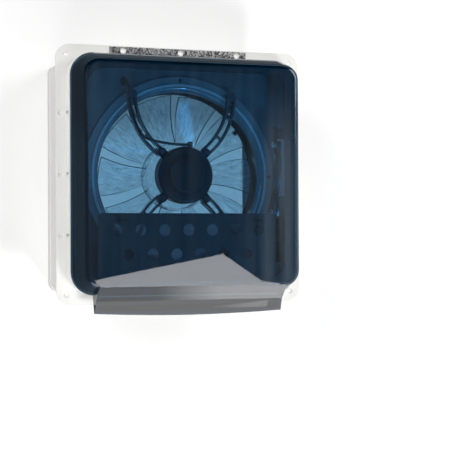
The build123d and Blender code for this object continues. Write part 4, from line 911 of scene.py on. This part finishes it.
class VENT_OT_studio(bpy.types.Operator):
    """Set the camera, the floor, the surroundings, the mirrored cards and the lamps"""

    bl_idname = "vent.studio"
    bl_label = "Studio"

    def execute(self, context):
        scene = context.scene
        look = scene.vent_studio
        floor_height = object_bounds()[0][2]
        scene.view_settings.view_transform = "Standard"
        self.camera(scene, look)
        self.floor(look, floor_height)
        self.world(scene)
        self.cards(scene, look, floor_height)
        self.lamps(scene, look)
        return {"FINISHED"}

    def camera(self, scene, look):
        """Camera at the photograph's angle."""
        camera = bpy.data.objects.new("studio_camera", bpy.data.cameras.new("studio_camera"))
        scene.collection.objects.link(camera)
        camera.matrix_world = camera_matrix()
        camera.data.lens = look.focal_length
        camera.data.sensor_width = SENSOR_WIDTH
        camera.data.clip_end = VIEW_DEPTH
        scene.camera = camera

    def floor(self, look, height):
        """Pale floor that keeps shadows: dim where shiny pieces mirror it, white through clear pieces but for a
        painted shadow towards +Y.
        """
        bpy.ops.object.select_all(action="DESELECT")
        bpy.ops.mesh.primitive_plane_add(size=FLOOR_SIZE, location=(0, 0, height))
        floor = bpy.context.object
        floor.name = "studio_floor"
        material, tree, shader = blank_material("floor_white")
        ray = add_node(tree, "ShaderNodeLightPath").outputs
        tone = remapped(tree, ray["Is Glossy Ray"], (0.0, 1.0), (look.floor_shade, FLOOR_IN_MIRRORS),
                        shape="LINEAR")
        along = axis_of(tree, object_place(tree), "Y")
        # painted shadow: the floor seen through clear pieces dims towards +Y
        behind = remapped(tree, along, PAINTED_FLOOR_SHADOW, (1.0, PAINTED_FLOOR_SHADOW_LEVEL))
        through = computed(tree, "MULTIPLY", ray["Is Transmission Ray"], behind)
        in_mirrors = computed(tree, "MULTIPLY", ray["Is Glossy Ray"], look.mirrored_floor)
        indirect = computed(tree, "MAXIMUM", in_mirrors, through)
        glow = computed(tree, "MULTIPLY_ADD", ray["Is Camera Ray"], FLOOR_GLOW, indirect)
        for key, value in {"Roughness": 0.9, "Specular IOR Level": 0.0, "Base Color": tone,
                           "Emission Color": WHITE, "Emission Strength": glow}.items():
            feed(tree, shader.inputs[key], value)
        dress(floor, material)
        floor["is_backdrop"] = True

    def world(self, scene):
        """Soft grey surroundings, darker overhead, white behind the vent. Mirrors see a streaky dim room."""
        world = bpy.data.worlds.new("studio_world")
        scene.world = world
        world.use_nodes = True
        tree = world.node_tree
        background = tree.nodes["Background"]
        ray = add_node(tree, "ShaderNodeLightPath").outputs
        direction = add_node(tree, "ShaderNodeTexCoord").outputs["Generated"]
        across, along, up = (axis_of(tree, direction, axis) for axis in "XYZ")
        plain = remapped(tree, up, *OVERHEAD, shape="LINEAR")
        haze = computed(tree, "MULTIPLY_ADD", remapped(tree, across, *HAZE_ACROSS),
                        remapped(tree, along, *HAZE_ALONG), remapped(tree, across, *ROOM))
        room = computed(tree, "MULTIPLY", haze, remapped(tree, along, *DARK_FRONT))
        streaks = noise(tree, stretched(tree, direction, ROOM_STREAKS), scale=1.0, detail=3.0)
        contrast = remapped(tree, streaks, *STREAK_CONTRAST, shape="LINEAR")
        streaked = computed(tree, "MULTIPLY", room, contrast)
        chosen = add_node(tree, "ShaderNodeMix", {"Factor": ray["Is Glossy Ray"], "A": plain, "B": streaked})
        strength = computed(tree, "MAXIMUM", chosen.outputs["Result"], ray["Is Camera Ray"])
        feed(tree, background.inputs["Color"], WHITE)
        feed(tree, background.inputs["Strength"], strength)

    def cards(self, scene, look, floor_height):
        """Bright cards that only mirrors see, placed by what the lid's faces show of them."""
        centre = scene.camera.matrix_world.translation
        height = centre.z
        overhead = [mirrored(centre, corner, UP, height) for corner in CARD_ON_LID]
        left, right = overhead[0].x - CARD_OVERHANG, overhead[-1].x + CARD_OVERHANG
        overhead += [(right, CARD_FAR, height), (left, CARD_FAR, height)]
        level = look.card_level
        self.card("overhead_card", overhead, level, axis="Y", rise=(0.25, 0.75), share=0.55)
        streak = [mirrored(centre, corner, TAIL_NORMAL, height - STREAK_CARD_DROP)
                  for corner in STREAK_ON_TAIL]
        self.card("streak_card", streak, 0.95 * level, axis="X", rise=(0.25, 0.75), share=0.8)
        low = floor_height + FRONT_CARD_LIFT
        front = [(FRONT_CARD_LEFT, CARD_FAR, low), (FRONT_CARD_RIGHT, CARD_FAR, low),
                 (FRONT_CARD_RIGHT, CARD_FAR, FRONT_CARD_TOP), (FRONT_CARD_LEFT, CARD_FAR, FRONT_CARD_TOP)]
        self.card("front_card", front, 0.85 * level, axis="X", rise=(0.455, 0.535), share=0.33)

    def card(self, name, corners, level, axis, rise, share):
        """One card: along an axis, between two places, its level rises from this share to all of it."""
        mesh = bpy.data.meshes.new(name)
        mesh.from_pydata([tuple(corner) for corner in corners], [], [tuple(range(len(corners)))])
        card = bpy.data.objects.new(name, mesh)
        bpy.context.scene.collection.objects.link(card)
        material, tree, shader = blank_material(name)
        place = add_node(tree, "ShaderNodeTexCoord").outputs["Generated"]
        strength = remapped(tree, axis_of(tree, place, axis), rise, (level * share, level), shape="LINEAR")
        for key, value in {"Base Color": BLACK, "Specular IOR Level": 0.0, "Emission Color": CARD_COLOR,
                           "Emission Strength": strength}.items():
            feed(tree, shader.inputs[key], value)
        dress(card, material)
        card.visible_camera = False
        card.visible_diffuse = False
        card.visible_shadow = False
        card.visible_transmission = False
        card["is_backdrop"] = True

    def lamps(self, scene, look):
        """Square lamps that all look at the vent."""
        for name, place, size, power, share, glints in LAMPS:
            data = bpy.data.lights.new(name, "AREA")
            data.energy = getattr(look, power) * share
            data.size = size
            lamp = bpy.data.objects.new(name, data)
            scene.collection.objects.link(lamp)
            lamp.location = place
            lamp.visible_glossy = glints
            lamp.rotation_euler = (-Vector(place)).to_track_quat("-Z", "Y").to_euler()


# Panel and registration


class VENT_PT_sidebar(bpy.types.Panel):
    """Sizes, colours and steps of the roof vent"""

    bl_idname = "VENT_PT_sidebar"
    bl_label = "Roof Vent"
    bl_space_type = "VIEW_3D"
    bl_region_type = "UI"
    bl_category = "Roof Vent"

    def draw(self, context):
        layout = self.layout
        for owner in (context.scene.vent_finishes, context.scene.vent_details, context.scene.vent_studio):
            box = layout.box()
            for key in owner.bl_rna.properties.keys():
                if key not in ("rna_type", "name"):
                    box.prop(owner, key)
        for operator in OPERATORS:
            layout.operator(operator.bl_idname)


OPERATORS = (
    VENT_OT_studio, VENT_OT_finishes, VENT_OT_insect_mesh, VENT_OT_blade_rims, VENT_OT_tail_shade,
    VENT_OT_baffle_gauze, VENT_OT_lid_seal, VENT_OT_foil, VENT_OT_recesses,
)
CLASSES = (VentFinishes, VentDetails, VentStudio, *OPERATORS, VENT_PT_sidebar)


def register():
    """Register the classes and hang the property groups on the scene."""
    for item in CLASSES:
        bpy.utils.register_class(item)
    bpy.types.Scene.vent_finishes = bpy.props.PointerProperty(type=VentFinishes)
    bpy.types.Scene.vent_details = bpy.props.PointerProperty(type=VentDetails)
    bpy.types.Scene.vent_studio = bpy.props.PointerProperty(type=VentStudio)


def unregister():
    """Take the property groups and classes away again."""
    for key in ("vent_studio", "vent_details", "vent_finishes"):
        delattr(bpy.types.Scene, key)
    for item in reversed(CLASSES):
        bpy.utils.unregister_class(item)


def main():
    """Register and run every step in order."""
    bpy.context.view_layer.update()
    register()
    bpy.ops.vent.studio()
    bpy.ops.vent.finishes()
    bpy.ops.vent.insect_mesh()
    bpy.ops.vent.blade_rims()
    bpy.ops.vent.tail_shade()
    bpy.ops.vent.baffle_gauze()
    bpy.ops.vent.lid_seal()
    bpy.ops.vent.foil()
    bpy.ops.vent.recesses()


if __name__ == "__main__":
    main()
